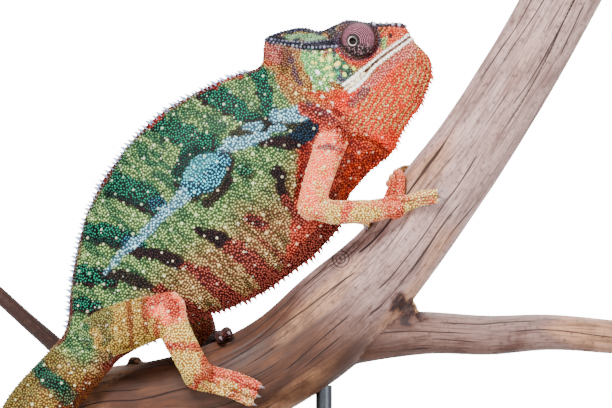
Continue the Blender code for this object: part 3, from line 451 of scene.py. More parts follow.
def tube_rings(route, count, around, round_start=True, round_end=True):
    """Rings round a smooth route of (x, y, z, radius), with domed ends where they are wanted."""
    fine = route_samples(route, count)
    places, radii, headings = list(fine[:, :3]), list(fine[:, 3]), list(fine[:, 4:7])
    for wanted, index, sign in ((round_start, 0, -1), (round_end, -1, 1)):
        place, radius, way = places[index], radii[index], headings[index]
        for turn in DOME_TURNS if wanted else ():
            spot = 0 if index == 0 else len(places)
            places.insert(spot, place + way * sign * radius * math.sin(turn))
            radii.insert(spot, radius * math.cos(turn))
            headings.insert(spot, way)
    side = np.cross(headings[0], (0.0, 1.0, 0.0))
    if np.linalg.norm(side) < 0.2:
        side = np.cross(headings[0], (0.0, 0.0, 1.0))
    rings = []
    angles = np.linspace(0, 2 * math.pi, around, endpoint=False)[:, None]
    for place, radius, way in zip(places, radii, headings):
        side = side - way * (side @ way)
        side /= np.linalg.norm(side)
        rings.append(place + radius * (np.cos(angles) * side + np.sin(angles) * np.cross(way, side)))
    return np.array(rings)


def leg_shells(name):
    """Upper leg, lower leg, palm, and for each toe a tube rooted in the palm."""
    upper, lower, bundles = LEGS[name]
    palm_radius, toe_radius = foot_sizes(name)
    palm = on_branch(*bundles[0][0][0], palm_radius * PALM_CLEARANCE)
    wrist = lower[-1]
    shells = [tube_rings(upper, 24, 24), tube_rings(lower, 24, 24),
              tube_rings((wrist, (*palm, palm_radius)), 8, 20)]
    for route in TOES[name]:
        shells.append(tube_rings([(*palm, toe_radius)] + route, 28, 14))
    for bundle, _ in bundles:
        middle = [(*on_branch(x, z, side, toe_radius + TOUCH_GAP), toe_radius * 1.1) for x, z, side in bundle]
        shells.append(tube_rings([(*palm, palm_radius * 0.8)] + middle[:2], 16, 16))
    return shells


shells = [body.rings(np.linspace(0.0, body.end, BODY_RINGS), BODY_POINTS)]
for name in LEGS:
    shells += leg_shells(name)
print("shells to join:", len(shells))

# %% Join the shells into one surface
SKIN_VOXEL = 0.9
SMOOTH_PULL = 0.5
SMOOTH_PUSH = -0.52


def new_object(name, data):
    thing = bpy.data.objects.new(name, data)
    bpy.context.scene.collection.objects.link(thing)
    return thing


def evaluated_mesh(thing):
    """The mesh of an object with its modifiers worked out."""
    graph = bpy.context.evaluated_depsgraph_get()
    return bpy.data.meshes.new_from_object(thing.evaluated_get(graph), preserve_all_data_layers=True, depsgraph=graph)


def face_outwards(mesh):
    """Turns every face of a mesh to the outside."""
    shape = bmesh.new()
    shape.from_mesh(mesh)
    bmesh.ops.recalc_face_normals(shape, faces=shape.faces)
    shape.to_mesh(mesh)
    shape.free()


def read_all(items, key, width, kind):
    """One property of all items, as rows of numbers."""
    values = np.empty(len(items) * width, kind)
    items.foreach_get(key, values)
    return values.reshape(-1, width)


def joined_surface(all_rings, voxel):
    """Points and faces of one surface round all the shells, in millimetres."""
    points, faces = lofted(all_rings)
    mesh = bpy.data.meshes.new("shells")
    mesh.from_pydata(points.tolist(), [], faces)
    face_outwards(mesh)
    thing = new_object("shells", mesh)
    modifier = thing.modifiers.new("join", "REMESH")
    modifier.mode = "VOXEL"
    modifier.voxel_size = voxel
    result = evaluated_mesh(thing)
    places = read_all(result.vertices, "co", 3, float)
    corners = read_all(result.loops, "vertex_index", 1, np.int64)
    bpy.data.objects.remove(thing, do_unlink=True)
    bpy.data.meshes.remove(result)
    return places, corners.reshape(-1, 4)


def neighbour_means(places, faces):
    """The mean place of each point's neighbours."""
    ends = np.concatenate([faces[:, [corner, (corner + 1) % 4]] for corner in range(4)])
    here, there = np.concatenate([ends, ends[:, ::-1]]).T
    count = np.bincount(here, minlength=len(places))
    sums = [np.bincount(here, weights=places[there, axis], minlength=len(places)) for axis in range(3)]
    return np.stack(sums, axis=1) / np.maximum(count, 1)[:, None]


def smoothed(places, faces, rounds):
    """Smooths without shrinking: each round pulls points to their neighbours' mean, then pushes them back."""
    for share in (SMOOTH_PULL, SMOOTH_PUSH) * rounds:
        places = places + share * (neighbour_means(places, faces) - places)
    return places


def point_normals(places, faces):
    corner = places[faces]
    normal = np.cross(corner[:, 2] - corner[:, 0], corner[:, 3] - corner[:, 1])
    total = np.zeros_like(places)
    for column, axis in itertools.product(range(4), range(3)):
        total[:, axis] += np.bincount(faces[:, column], weights=normal[:, axis], minlength=len(places))
    return total / np.maximum(np.linalg.norm(total, axis=1), 1e-9)[:, None]


skin_points, skin_faces = joined_surface(shells, SKIN_VOXEL)
skin_points = smoothed(skin_points, skin_faces, 6)
print("skin:", len(skin_faces), "faces,", round(time.time() - STARTED, 1), "s so far")

# %% [markdown]
# Every later step asks the same of a point: where on the animal is it? On the head, the trunk and the tail
# the answer is how far it lies from the snout and how far down from the back line to the belly line.
# On a leg it is how far down the leg it lies, on which toe, and at which angle round it.

# %% Places on the body and on the legs
GRID_STEP = 0.5
GRID_LEVELS = 81
LEG_NAMES = tuple(LEGS)


class BodyPlaces:
    """Finds the section and the level of any point beside the flank."""

    def __init__(self):
        self.s = np.arange(0.0, body.end, GRID_STEP)
        self.levels = np.linspace(0, 1, GRID_LEVELS)
        tops, bottoms, widths, self.sides = body.read(self.s)
        self.across = bottoms - tops
        self.height = np.linalg.norm(self.across, axis=1)
        self.flank = tops[:, None] + self.levels[None, :, None] * self.across[:, None]
        self.along = np.gradient(self.flank, GRID_STEP, axis=0)
        self.half = np.array([np.maximum(spline(LEVELS, width, self.levels), EDGE_WIDTH) for width in widths])
        self.tree = kdtree.KDTree(self.half.size)
        for index, (x, z) in enumerate(self.flank.reshape(-1, 2).tolist()):
            self.tree.insert((x, 0.0, z), index)
        self.tree.balance()

    def find(self, points):
        """s, level, section height and distance outside the body for each point."""
        find = self.tree.find
        found = np.array([find((x, 0.0, z))[1] for x, y, z in np.asarray(points, float).tolist()])
        row, column = np.divmod(found, GRID_LEVELS)
        away = points[:, [0, 2]] - self.flank[row, column]
        along, across = self.along[row, column], self.across[row]
        area = along[:, 0] * across[:, 1] - along[:, 1] * across[:, 0]
        area = np.where(np.abs(area) < 1e-6, 1e-6, area)
        ds = np.clip((away[:, 0] * across[:, 1] - away[:, 1] * across[:, 0]) / area, -GRID_STEP, GRID_STEP)
        step = 1 / (GRID_LEVELS - 1)
        down = np.clip((along[:, 0] * away[:, 1] - along[:, 1] * away[:, 0]) / area, -step, step)
        level = np.clip(self.levels[column] + down, 0, 1)
        half = self.half[row, column]
        beyond = np.maximum(np.linalg.norm(away, axis=1) - 0.7, 0)
        over = np.maximum(np.abs(points[:, 1] - self.sides[row]) - half, -half)
        out = np.where(beyond > 0, np.hypot(np.maximum(over, 0), beyond), over)
        return self.s[row] + ds, level, self.height[row], out


def nearest_samples(points, samples):
    """For each point the sample whose surface is nearest, the way from it, and how far outside it the point lies."""
    found = []
    for part in np.array_split(points, len(points) // 4000 + 1):
        away = part[:, None] - samples[None, :, :3]
        out = np.linalg.norm(away, axis=2) - samples[None, :, 3]
        closest = np.argmin(out, axis=1)
        pick = np.arange(len(part))
        found.append((samples[closest], away[pick, closest], out[pick, closest]))
    return [np.concatenate(values) for values in zip(*found)]


class LegPlaces:
    """Finds the nearest leg axis, and how far down and round the leg a point lies."""

    def __init__(self):
        self.samples = []
        for name in LEG_NAMES:
            upper, lower, bundles = LEGS[name]
            palm_radius, toe_radius = foot_sizes(name)
            palm = on_branch(*bundles[0][0][0], palm_radius * PALM_CLEARANCE)
            lines = [(upper, 0.0, 40, -1), (lower, 1.0, 40, -1)]
            lines += [([(*palm, toe_radius)] + route, 2.0, 30, toe) for toe, route in enumerate(TOES[name])]
            self.samples.append(np.concatenate([
                np.column_stack([route_samples(route, count), np.linspace(start, start + 1, count),
                                 np.full(count, toe)]) for route, start, count, toe in lines]))

    def find(self, points):
        """Leg index, place 0 to 3 down the leg, toe, angle round it and distance outside it."""
        leg, toe = np.full(len(points), -1), np.full(len(points), -1.0)
        place, angle, best = np.zeros(len(points)), np.zeros(len(points)), np.full(len(points), 99.0)
        for index, samples in enumerate(self.samples):
            low, high = samples[:, :3].min(axis=0) - 14, samples[:, :3].max(axis=0) + 14
            near = np.flatnonzero(((points > low) & (points < high)).all(axis=1))
            row, reach, out = nearest_samples(points[near], samples)
            better = out < best[near]
            chosen, row, reach = near[better], row[better], reach[better]
            best[chosen], leg[chosen], place[chosen], toe[chosen] = out[better], index, row[:, 13], row[:, 14]
            angle[chosen] = np.arctan2((reach * row[:, 10:13]).sum(axis=1), (reach * row[:, 7:10]).sum(axis=1))
        return leg, place, toe, angle, best


class Places:
    """All the answers for a set of points, gathered once."""

    def __init__(self, points):
        self.points = np.asarray(points, float)
        self.columns, self.rows = in_steps(self.points)
        self.side = np.where(self.points[:, 1] < 0, NEAR, FAR)
        self.s, self.level, self.height, self.body_out = body_places.find(self.points)
        self.leg, self.down, self.toe, self.angle, self.leg_out = leg_places.find(self.points)
        self.on_leg = smoothly(self.body_out - self.leg_out, -0.5, 2.5)
        self.on_head = self.s < body.nape

    def from_belly(self):
        """Millimetres up from the belly or throat line."""
        return (1 - self.level) * self.height

    def from_back(self):
        return self.level * self.height

    def aside(self, start, end):
        """0 near the animal's middle plane, 1 further out than `end` millimetres."""
        return smoothly(np.abs(self.points[:, 1]), start, end)

    def under_fold(self):
        """Picture steps down from the line of the throat's fold."""
        return self.rows - np.interp(self.columns, *np.transpose(THROAT_FOLD))


body_places = BodyPlaces()
leg_places = LegPlaces()
at = Places(skin_points)
print("points on legs:", int((at.on_leg > 0.5).sum()), "on the head:", int((at.on_head & (at.on_leg < 0.5)).sum()))

# %% [markdown]
# The joined shells are still too smooth. The real skin steps in under the throat, has a rim round each eye
# turret and rolled lips. Points are moved along their normals here, because the marks that such a step follows
# are known as lines in picture steps, and a line can be pressed in or drawn out by its distance.

# %% Lines pressed into the skin
EYE_SPOT = (358.0, 40.0)
NOSTRIL_SPOT = (390.5, 36.0)
MOUTH = ((364, 72.5), (368, 69), (374, 63.5), (382, 57), (396, 47), (403, 42), (413, 34.5))
UPPER_LIP = ((344, 85), (354, 78), (362, 70.5), (367, 66.8), (373, 61.6), (381, 55), (395, 45), (402, 40), (411, 33.5))
LOWER_LIP = ((350, 92), (358, 85.5), (366, 77.5), (370, 72), (376, 66), (384, 59.5), (397.5, 49.5), (404.5, 44.5),
             (414, 37.5))
LATERAL_CREST = ((263, 38), (285, 43), (312, 47), (338, 49))
THROAT_FOLD = ((338, 131), (351, 135), (367, 138), (378, 142), (385, 148), (396, 156))
NECK_FOLDS = (((337, 112), (343, 119), (349, 124)), ((300, 96), (318, 108), (330, 124)))
ARMPIT = ((304, 150), (302, 176), (298, 196))
GROIN = ((172, 300), (186, 306), (200, 318))


def stroke_reach(columns, rows, line):
    """How far inside a stroke each point lies, in picture steps; outside it is negative."""
    best = np.full(len(columns), -1e9)
    for (ax, ay, ah), (bx, by, bh) in zip(line[:-1], line[1:]):
        run = (bx - ax) ** 2 + (by - ay) ** 2
        t = np.clip(((columns - ax) * (bx - ax) + (rows - ay) * (by - ay)) / run, 0, 1)
        distance = np.hypot(columns - ax - t * (bx - ax), rows - ay - t * (by - ay))
        best = np.maximum(best, ah + t * (bh - ah) - distance)
    return best


def line_distance(columns, rows, line):
    """Distance in picture steps to a line."""
    return -stroke_reach(columns, rows, [(*point, 0.0) for point in line])


def spot_distance(columns, rows, spot):
    return np.hypot(columns - spot[0], rows - spot[1])


def toe_crease(at):
    """Nearness to the crease between two toes of a bundle, from 0 to 1."""
    crease = np.zeros(len(at.points))
    for index, name in enumerate(LEG_NAMES):
        chosen = np.flatnonzero((at.leg == index) & (at.down > 2.05))
        if len(chosen) == 0:
            continue
        outs = np.sort([nearest_samples(at.points[chosen], route_samples(route, 24))[2] for route in TOES[name]],
                       axis=0)
        crease[chosen] = 1 - smoothly(outs[1] - outs[0], 0.1, 0.9)
    return crease


def sculpt(at):
    """Millimetres by which each point moves out along its normal."""
    columns, rows = at.columns, at.rows
    body_share = 1 - at.on_leg
    off_middle = at.aside(0.6, 3.0)
    out = np.full(len(columns), -SKIN_DEPTH)
    out -= 1.3 * bump(spot_distance(columns, rows, NOSTRIL_SPOT), 1.7) * off_middle * body_share
    out -= 0.55 * toe_crease(at)
    for line, width, height in ((MOUTH, 1.6, -1.0), (UPPER_LIP, 2.2, 0.45), (LOWER_LIP, 2.2, 0.4),
                                (LATERAL_CREST, 2.2, 0.7)):
        out += height * bump(line_distance(columns, rows, line), width) * off_middle * body_share
    from_eye = spot_distance(columns, rows, EYE_SPOT)
    rim = 0.8 * bump(from_eye - 22.0, 3.0) - 1.1 * bump(from_eye - 18.0, 2.5)
    out += rim * at.aside(3.0, 6.0) * body_share
    below = at.under_fold()
    beside = smoothly(columns, 338, 350) * (1 - smoothly(below, 24, 52))
    out += (-1.5 * smoothly(below, -1.5, 2.5) + 0.6 * bump(below + 5, 5)) * beside * off_middle * body_share
    for line in NECK_FOLDS + (ARMPIT, GROIN):
        out -= 0.5 * bump(line_distance(columns, rows, line), 2.2) * body_share * off_middle
    on_throat = at.on_head & (at.level > 0.6)
    throat_rows = 0.22 * np.cos(at.from_belly() / 2.4 * 2 * math.pi)
    out += np.where(on_throat, throat_rows, 0.0) * smoothly(at.level, 0.6, 0.72) * off_middle * body_share
    out += 0.22 * layered_noise(at.points, 6.0, seed=11) * (0.4 + 0.6 * body_share)
    joints = np.minimum(np.abs(at.down - 1.0), np.abs(at.down - 2.0))
    out += 0.18 * noise(at.points, 2.2, seed=12) * bump(joints, 0.25) * at.on_leg
    return out


skin_points = skin_points + point_normals(skin_points, skin_faces) * sculpt(at)[:, None]
skin_points = smoothed(skin_points, skin_faces, 1)
at = Places(skin_points)
print("skin from", np.round(skin_points.min(axis=0), 1), "to", np.round(skin_points.max(axis=0), 1), "mm")

# %% [markdown]
# A panther chameleon's colours sit in its granules and in the thin skin between them, and the two differ:
# a green bar is green granules over nearly black skin. So each mark gives two colours, one for the scale and
# one for the gap. Marks are strokes with a half width, laid over each other in order, with ragged edges.

# %% Strokes and their colours
DEEPER = 1.32             # studio light washes colours out, so pigments are mixed deeper first


def display(colour):
    """Linear pigment for a colour that is named as it is seen on a display."""
    value = np.asarray(colour, float)
    value = np.where(value <= 0.04045, value / 12.92, ((value + 0.055) / 1.055) ** 2.4)
    return value ** DEEPER


# For each colour: the scale's, then the gap's, as seen on a display
PAINTS = {
    "flank": ((0.72, 0.80, 0.56), (0.26, 0.37, 0.21)),
    "low flank": ((0.84, 0.73, 0.53), (0.44, 0.30, 0.19)),
    "fine green": ((0.26, 0.54, 0.38), (0.03, 0.22, 0.18)),
    "fine olive": ((0.50, 0.45, 0.26), (0.26, 0.16, 0.09)),
    "bar": ((0.10, 0.62, 0.50), (0.01, 0.02, 0.05)),
    "dark teal": ((0.05, 0.34, 0.30), (0.05, 0.01, 0.03)),
    "bar end": ((0.24, 0.54, 0.62), (0.03, 0.03, 0.09)),
    "stripe": ((0.74, 0.91, 0.94), (0.26, 0.40, 0.47)),
    "blotch": ((0.46, 0.86, 0.92), (0.03, 0.20, 0.28)),
    "blotch top": ((0.50, 0.80, 0.82), (0.20, 0.42, 0.46)),
    "maroon": ((0.76, 0.42, 0.35), (0.30, 0.08, 0.08)),
    "black": ((0.32, 0.18, 0.20), (0.04, 0.01, 0.02)),
    "navy": ((0.16, 0.32, 0.42), (0.06, 0.02, 0.07)),
    "red": ((0.88, 0.45, 0.34), (0.50, 0.14, 0.11)),
    "rim red": ((0.80, 0.20, 0.16), (0.44, 0.04, 0.05)),
    "dark red": ((0.66, 0.22, 0.15), (0.34, 0.06, 0.05)),
    "back rim": ((0.60, 0.26, 0.24), (0.28, 0.07, 0.07)),
    "orange": ((0.95, 0.44, 0.16), (0.62, 0.17, 0.07)),
    "salmon": ((0.93, 0.53, 0.38), (0.66, 0.26, 0.16)),
    "pink": ((0.90, 0.62, 0.56), (0.62, 0.32, 0.28)),
    "casque": ((0.24, 0.23, 0.34), (0.07, 0.06, 0.11)),
    "trough": ((0.66, 0.77, 0.60), (0.34, 0.48, 0.34)),
    "cheek": ((0.76, 0.88, 0.60), (0.34, 0.56, 0.34)),
    "teal": ((0.10, 0.58, 0.48), (0.02, 0.26, 0.24)),
    "grey blue": ((0.45, 0.56, 0.62), (0.22, 0.26, 0.33)),
    "grey purple": ((0.52, 0.42, 0.48), (0.26, 0.18, 0.24)),
    "neck": ((0.78, 0.68, 0.42), (0.48, 0.27, 0.14)),
    "brown": ((0.75, 0.50, 0.45), (0.43, 0.22, 0.20)),
    "throat row": ((0.86, 0.76, 0.52), (0.62, 0.40, 0.22)),
    "throat": ((0.97, 0.40, 0.22), (0.70, 0.15, 0.07)),
    "lip": ((1.0, 0.98, 0.93), (0.72, 0.62, 0.56)),
    "mouth": ((0.20, 0.10, 0.10), (0.08, 0.04, 0.04)),
    "arm": ((1.0, 0.76, 0.60), (0.94, 0.36, 0.25)),
    "cream": ((1.0, 0.93, 0.68), (0.72, 0.52, 0.30)),
    "pink red": ((0.96, 0.55, 0.46), (0.68, 0.24, 0.18)),
    "yellow": ((1.0, 0.93, 0.60), (0.66, 0.48, 0.22)),
    "purple grey": ((0.50, 0.40, 0.46), (0.24, 0.16, 0.22)),
    "thigh": ((0.84, 0.74, 0.42), (0.50, 0.36, 0.16)),
    "tail": ((0.78, 0.68, 0.38), (0.42, 0.29, 0.12)),
    "tail green": ((0.30, 0.46, 0.24), (0.10, 0.10, 0.04)),
    "under tail": ((0.62, 0.32, 0.16), (0.34, 0.11, 0.07)),
    "white": ((0.92, 0.93, 0.88), (0.60, 0.60, 0.55)),
}
INKS = {name: (display(scale), display(gap)) for name, (scale, gap) in PAINTS.items()}

# Strokes as (column, row, half width) in picture steps, from the first laid to the last:
# name, colour, raggedness of its edge, share of it that is laid, points
TRUNK_STROKES = (
    ("chest", "red", 5, 0.95, ((318, 150, 22), (320, 184, 22), (316, 212, 24), (308, 236, 20), (298, 256, 13))),
    ("chest low", "maroon", 4, 0.9, ((338, 196, 7), (332, 226, 9), (312, 250, 12), (290, 272, 9))),
    ("neck stroke", "neck", 4, 0.9, ((286, 60, 14), (296, 84, 16), (306, 104, 12))),
    ("shoulder", "red", 5, 0.9, ((312, 118, 8), (330, 134, 10), (338, 150, 10))),
    ("neck bar", "bar", 3, 1.0, ((257, 70, 7), (263, 88, 7), (269, 111, 7))),
    ("bar 2", "bar", 4, 1.0, ((205, 89, 9), (222, 98, 10), (236, 107, 9), (248, 117, 8), (261, 125, 6))),
    ("bar 3a", "bar", 4, 1.0, ((150, 120, 6), (166, 127, 9), (188, 137, 12), (208, 148, 13), (219, 154, 9))),
    ("bar 3b", "bar", 4, 1.0, ((200, 146, 12), (188, 160, 10), (181, 177, 7))),
    ("bar 3 dark", "dark teal", 4, 0.9, ((178, 172, 5), (184, 160, 5), (196, 150, 4), (214, 154, 4))),
    ("bar 4", "bar", 4, 1.0, ((99, 180, 7), (118, 184, 12), (137, 192, 11), (153, 200, 10), (161, 206, 7))),
    ("bar 4 dark", "dark teal", 4, 0.9, ((110, 194, 4), (130, 200, 4), (148, 206, 4))),
    ("bar 5", "bar", 4, 1.0, ((82, 229, 6), (108, 232, 9), (128, 239, 10), (141, 245, 7))),
    ("bar 5 dark", "dark teal", 3, 0.9, ((90, 238, 3), (112, 242, 4), (128, 248, 4))),
    ("bar 6", "bar", 4, 1.0, ((70, 271, 7), (92, 275, 9), (112, 278, 6))),
    ("bar 7", "bar", 4, 1.0, ((66, 302, 6), (82, 303, 7), (97, 304, 5))),
    ("top patches", "fine green", 6, 0.4, ((92, 206, 6), (120, 150, 7), (150, 158, 8), (182, 112, 6))),
    ("thigh root", "bar", 4, 0.6, ((108, 318, 6), (112, 344, 6), (117, 362, 6))),
    ("tail bar", "bar", 5, 0.5, ((35, 364, 8), (53, 379, 8), (68, 395, 8))),
    ("bar 2 back", "rim red", 4, 0.85, ((199, 90, 3), (214, 85, 4), (228, 79, 3), (240, 74, 3))),
    ("bar 3 back", "rim red", 4, 0.9, ((148, 125, 3), (158, 117, 3), (166, 110, 2))),
    ("bar 4 back", "rim red", 4, 0.9, ((98, 188, 2), (103, 179, 2.5), (108, 171, 2))),
    ("bar 4 end", "bar end", 3, 1.0, ((157, 203, 7), (163, 206, 6))),
    ("bar 5 end", "bar end", 3, 1.0, ((130, 241, 7), (137, 244, 7))),
    ("band a", "black", 4, 1.0, ((199, 230, 4), (212, 234, 6), (226, 242, 8))),
    ("band a low", "maroon", 4, 1.0, ((232, 246, 8), (248, 258, 10), (262, 272, 11), (276, 285, 12))),
    ("band b", "black", 4, 1.0, ((137, 250, 5), (161, 255, 7), (180, 262, 6))),
    ("band b low", "maroon", 4, 1.0, ((188, 266, 6), (206, 276, 8), (219, 288, 9), (236, 302, 10))),
    ("band c", "black", 4, 0.95, ((105, 273, 4), (122, 275, 6), (141, 282, 6), (152, 286, 5))),
    ("band c low", "maroon", 4, 1.0, ((158, 289, 5), (170, 295, 6), (184, 304, 7), (196, 315, 9))),
    ("band d", "maroon", 4, 0.85, ((258, 238, 2), (276, 252, 4), (292, 268, 5))),
    ("stripe ground", "black", 4, 0.9, ((236, 134, 6), (256, 126, 8), (276, 124, 8), (300, 124, 8))),
    ("stripe 1", "stripe", 3, 0.95, ((277, 116, 6), (295, 115, 8), (312, 115, 6))),
    ("stripe 2", "stripe", 3, 0.9, ((248, 128, 4), (258, 127, 5))),
    ("stripe 3", "stripe", 3, 0.8, ((272, 130, 3), (282, 129, 4))),
    ("stripe 4", "stripe", 3, 0.95, ((268, 134, 4), (250, 141, 6), (230, 146, 7), (222, 153, 5))),
    ("blotch ground", "black", 4, 0.9, ((192, 190, 12), (208, 177, 19), (223, 163, 12))),
    ("blotch", "blotch", 3, 1.0, ((192, 188, 10), (207, 175, 16), (221, 163, 10))),
    ("blotch top", "blotch top", 4, 0.9, ((190, 176, 6), (199, 166, 8), (210, 158, 6))),
    ("stripe 5", "stripe", 4, 0.85, ((183, 196, 6), (175, 203, 5), (168, 211, 5), (153, 226, 5), (134, 244, 4))),
    ("stripe 6", "stripe", 4, 0.7, ((134, 244, 4), (124, 251, 3.5), (118, 258, 3.5), (106, 271, 2))),
    ("blotch edge", "black", 3, 0.95, ((229, 168, 3), (231, 180, 4), (222, 193, 5), (209, 203, 5))),
    ("dark fleck", "bar", 4, 0.8, ((240, 168, 4), (248, 172, 4))),
    ("navy patch", "navy", 3, 1.0, ((272, 141, 4), (285, 141, 6), (300, 138, 9), (312, 128, 8), (318, 116, 4))),
    ("navy left", "black", 3, 1.0, ((264, 144, 4), (276, 142, 5), (290, 144, 6), (300, 146, 5))),
    ("spot 1", "black", 3, 1.0, ((276, 171, 6), (281, 176, 7), (282, 188, 5), (289, 203, 3))),
    ("spot 1 tail", "maroon", 3, 0.9, ((285, 198, 4), (292, 210, 4), (300, 222, 5))),
    ("spot 2", "maroon", 3, 1.0, ((250, 219, 6), (257, 222, 6), (264, 226, 5))),
    ("spot 2 dark", "black", 3, 0.7, ((253, 220, 3), (260, 224, 3))),
    ("shoulder front", "red", 5, 1.0, ((304, 108, 5), (318, 114, 9), (332, 122, 9), (346, 130, 7), (358, 136, 4))),
    ("shoulder lines", "maroon", 4, 0.8, ((304, 108, 2), (318, 116, 2.5), (334, 124, 2.5), (348, 131, 2))),
    ("shoulder dark", "purple grey", 4, 0.8, ((300, 100, 1.5), (314, 107, 2.5), (330, 114, 2), (344, 124, 2))),
    ("armpit", "dark red", 3, 0.8, ((306, 150, 5), (303, 176, 5), (298, 196, 4))),
)
HEAD_STROKES = (
    ("neck side", "neck", 3, 1.0, ((268, 48, 16), (284, 72, 18), (296, 96, 18))),
    ("neck low", "red", 6, 0.85, ((316, 112, 9), (334, 118, 12), (350, 128, 12), (366, 132, 6))),
    ("neck orange", "orange", 5, 0.7, ((276, 78, 5), (290, 90, 6), (306, 100, 6), (322, 98, 6), (334, 96, 6))),
    ("neck lines", "brown", 5, 0.8, ((300, 104, 3), (318, 112, 3), (334, 122, 3))),
    ("nape red", "red", 4, 0.9, ((256, 68, 5), (268, 62, 5))),
    ("casque side", "brown", 3, 1.0, ((262, 42, 8), (272, 52, 9), (284, 58, 8))),
    ("casque pink", "pink", 3, 0.55, ((266, 46, 4), (274, 56, 5), (276, 64, 4))),
    ("casque olive", "fine olive", 4, 0.6, ((285, 50, 4), (288, 62, 5), (284, 72, 4))),
    ("grey patch", "grey purple", 4, 0.85, ((291, 60, 3), (295, 70, 4), (298, 82, 4))),
    ("cheek", "cheek", 3, 1.0, ((310, 56, 9), (316, 68, 11), (322, 82, 10), (336, 62, 10))),
    ("cheek teal", "teal", 3, 0.9, ((338, 66, 6), (346, 72, 7), (350, 80, 5))),
    ("cheek blue", "grey blue", 2, 0.8, ((340, 79, 4), (346, 85, 4))),
    ("temple", "navy", 3, 0.85, ((331, 30, 5), (334, 40, 5), (337, 52, 4))),
    ("under eye", "orange", 2, 1.0, ((336, 48, 2), (341, 55, 2.5), (349, 61, 3), (361, 64, 4), (373, 57, 3.5))),
    ("snout", "salmon", 3, 1.0, ((378, 50, 8), (386, 42, 11), (396, 34, 9), (406, 30, 6))),
    ("snout yellow", "cheek", 2, 0.9, ((383, 48, 2.5), (384, 41, 3))),
    ("snout teal", "teal", 2, 0.9, ((378, 47, 1.5), (380, 41, 2), (379, 35, 1.5))),
    ("brow", "casque", 2, 1.0, ((338, 22, 5), (352, 20, 5), (368, 22, 4), (378, 27, 3))),
    ("canthus", "casque", 2, 0.95, ((372, 24, 4), (390, 24, 3.5), (405, 26, 3))),
    ("mouth corner", "lip", 1, 1.0, ((346, 89, 1.5), (355, 82, 4), (363, 75, 1.5))),
    ("trough", "trough", 2, 1.0, ((286, 37, 3), (300, 37, 4), (316, 38, 4), (324, 40, 3))),
    ("crest", "casque", 2, 1.0, ((263, 37, 4), (284, 31, 4), (303, 28, 4), (320, 31, 4), (332, 25, 5))),
    ("lateral crest", "casque", 3, 1.0, ((263, 38, 3), (285, 43, 4), (312, 46, 5), (328, 45, 6), (338, 44, 5))),
    ("throat front", "red", 6, 0.7, ((412, 62, 9), (424, 76, 8), (420, 98, 8))),
    ("chin", "pink", 3, 1.0, ((398, 60, 5), (408, 52, 7), (415, 46, 6))),
    ("jaw", "pink", 3, 0.9, ((362, 92, 5), (372, 82, 5), (386, 68, 5), (400, 56, 5))),
    ("jaw lavender", "grey purple", 3, 0.7, ((352, 104, 5), (360, 98, 4), (366, 92, 4))),
    ("streak", "dark red", 2, 0.9, ((336, 113, 3), (342, 119, 3), (348, 124, 3))),
)


class Inks:
    """The scale and gap colours of a set of points, laid one over another."""

    def __init__(self, count, name):
        self.scale = np.tile(INKS[name][0], (count, 1))
        self.gap = np.tile(INKS[name][1], (count, 1))

    def lay(self, mask, name):
        mask = np.clip(mask, 0, 1)[:, None]
        self.scale = self.scale + mask * (INKS[name][0] - self.scale)
        self.gap = self.gap + mask * (INKS[name][1] - self.gap)


BAR_SHADE = (2.0, 4.0)    # how far right and down the dark lower edge of a green bar shows, in picture steps


def lay_strokes(inks, at, strokes, allowed):
    for index, (_, paint, ragged, share, line) in enumerate(strokes):
        low = np.min(line, axis=0)[:2] - 24
        high = np.max(line, axis=0)[:2] + 24
        near = np.flatnonzero((at.columns > low[0]) & (at.columns < high[0]) & (at.rows > low[1])
                              & (at.rows < high[1]) & (allowed > 0.01))
        if not len(near):
            continue
        reach = stroke_reach(at.columns[near], at.rows[near], line)
        reach = reach + ragged * layered_noise(at.points[near], 2.6, seed=40 + index)
        mask = np.zeros(len(at.columns))
        if paint == "bar":
            shade = stroke_reach(at.columns[near] - BAR_SHADE[0], at.rows[near] - BAR_SHADE[1], line)
            shade = shade + 1.5 * ragged * noise(at.points[near], 2.2, seed=90 + index)
            mask[near] = smoothly(shade, -1.0, 0.6) * share * allowed[near]
            inks.lay(mask, "black")
        mask[near] = smoothly(reach, -1.2, 1.2) * share * allowed[near]
        inks.lay(mask, paint)


print("strokes on one flank:", len(TRUNK_STROKES), "and on the head:", len(HEAD_STROKES))

# %% [markdown]
# The strokes give the large marks. Below them lie finer ones that cover the whole animal: green lines that
# run with the bars, rings of the tail, rows on the throat, bands on the legs. They follow the body's own
# places, so they wrap round it and show from every side.

# %% Colour of every place
TAIL_ROW = 1.5            # millimetres between the tail's rings of scales
TAIL_BAND = 25.0
THROAT_ROW = 2.4


def paint_under_fold(inks, at, allowed):
    """Painted shadow under the throat's fold: the skin there is laid dark red over red, with orange granules."""
    under = smoothly(at.under_fold(), -1.5, 1.5)
    under = under * smoothly(at.columns, 334, 346) * (1 - smoothly(at.rows, 196, 208)) * allowed
    inks.lay(under, "dark red")
    inks.lay(under * 0.5, "red")
    inks.lay(under * smoothly(noise(at.points, 1.5, 29), 0.0, 0.3) * 0.7, "orange")


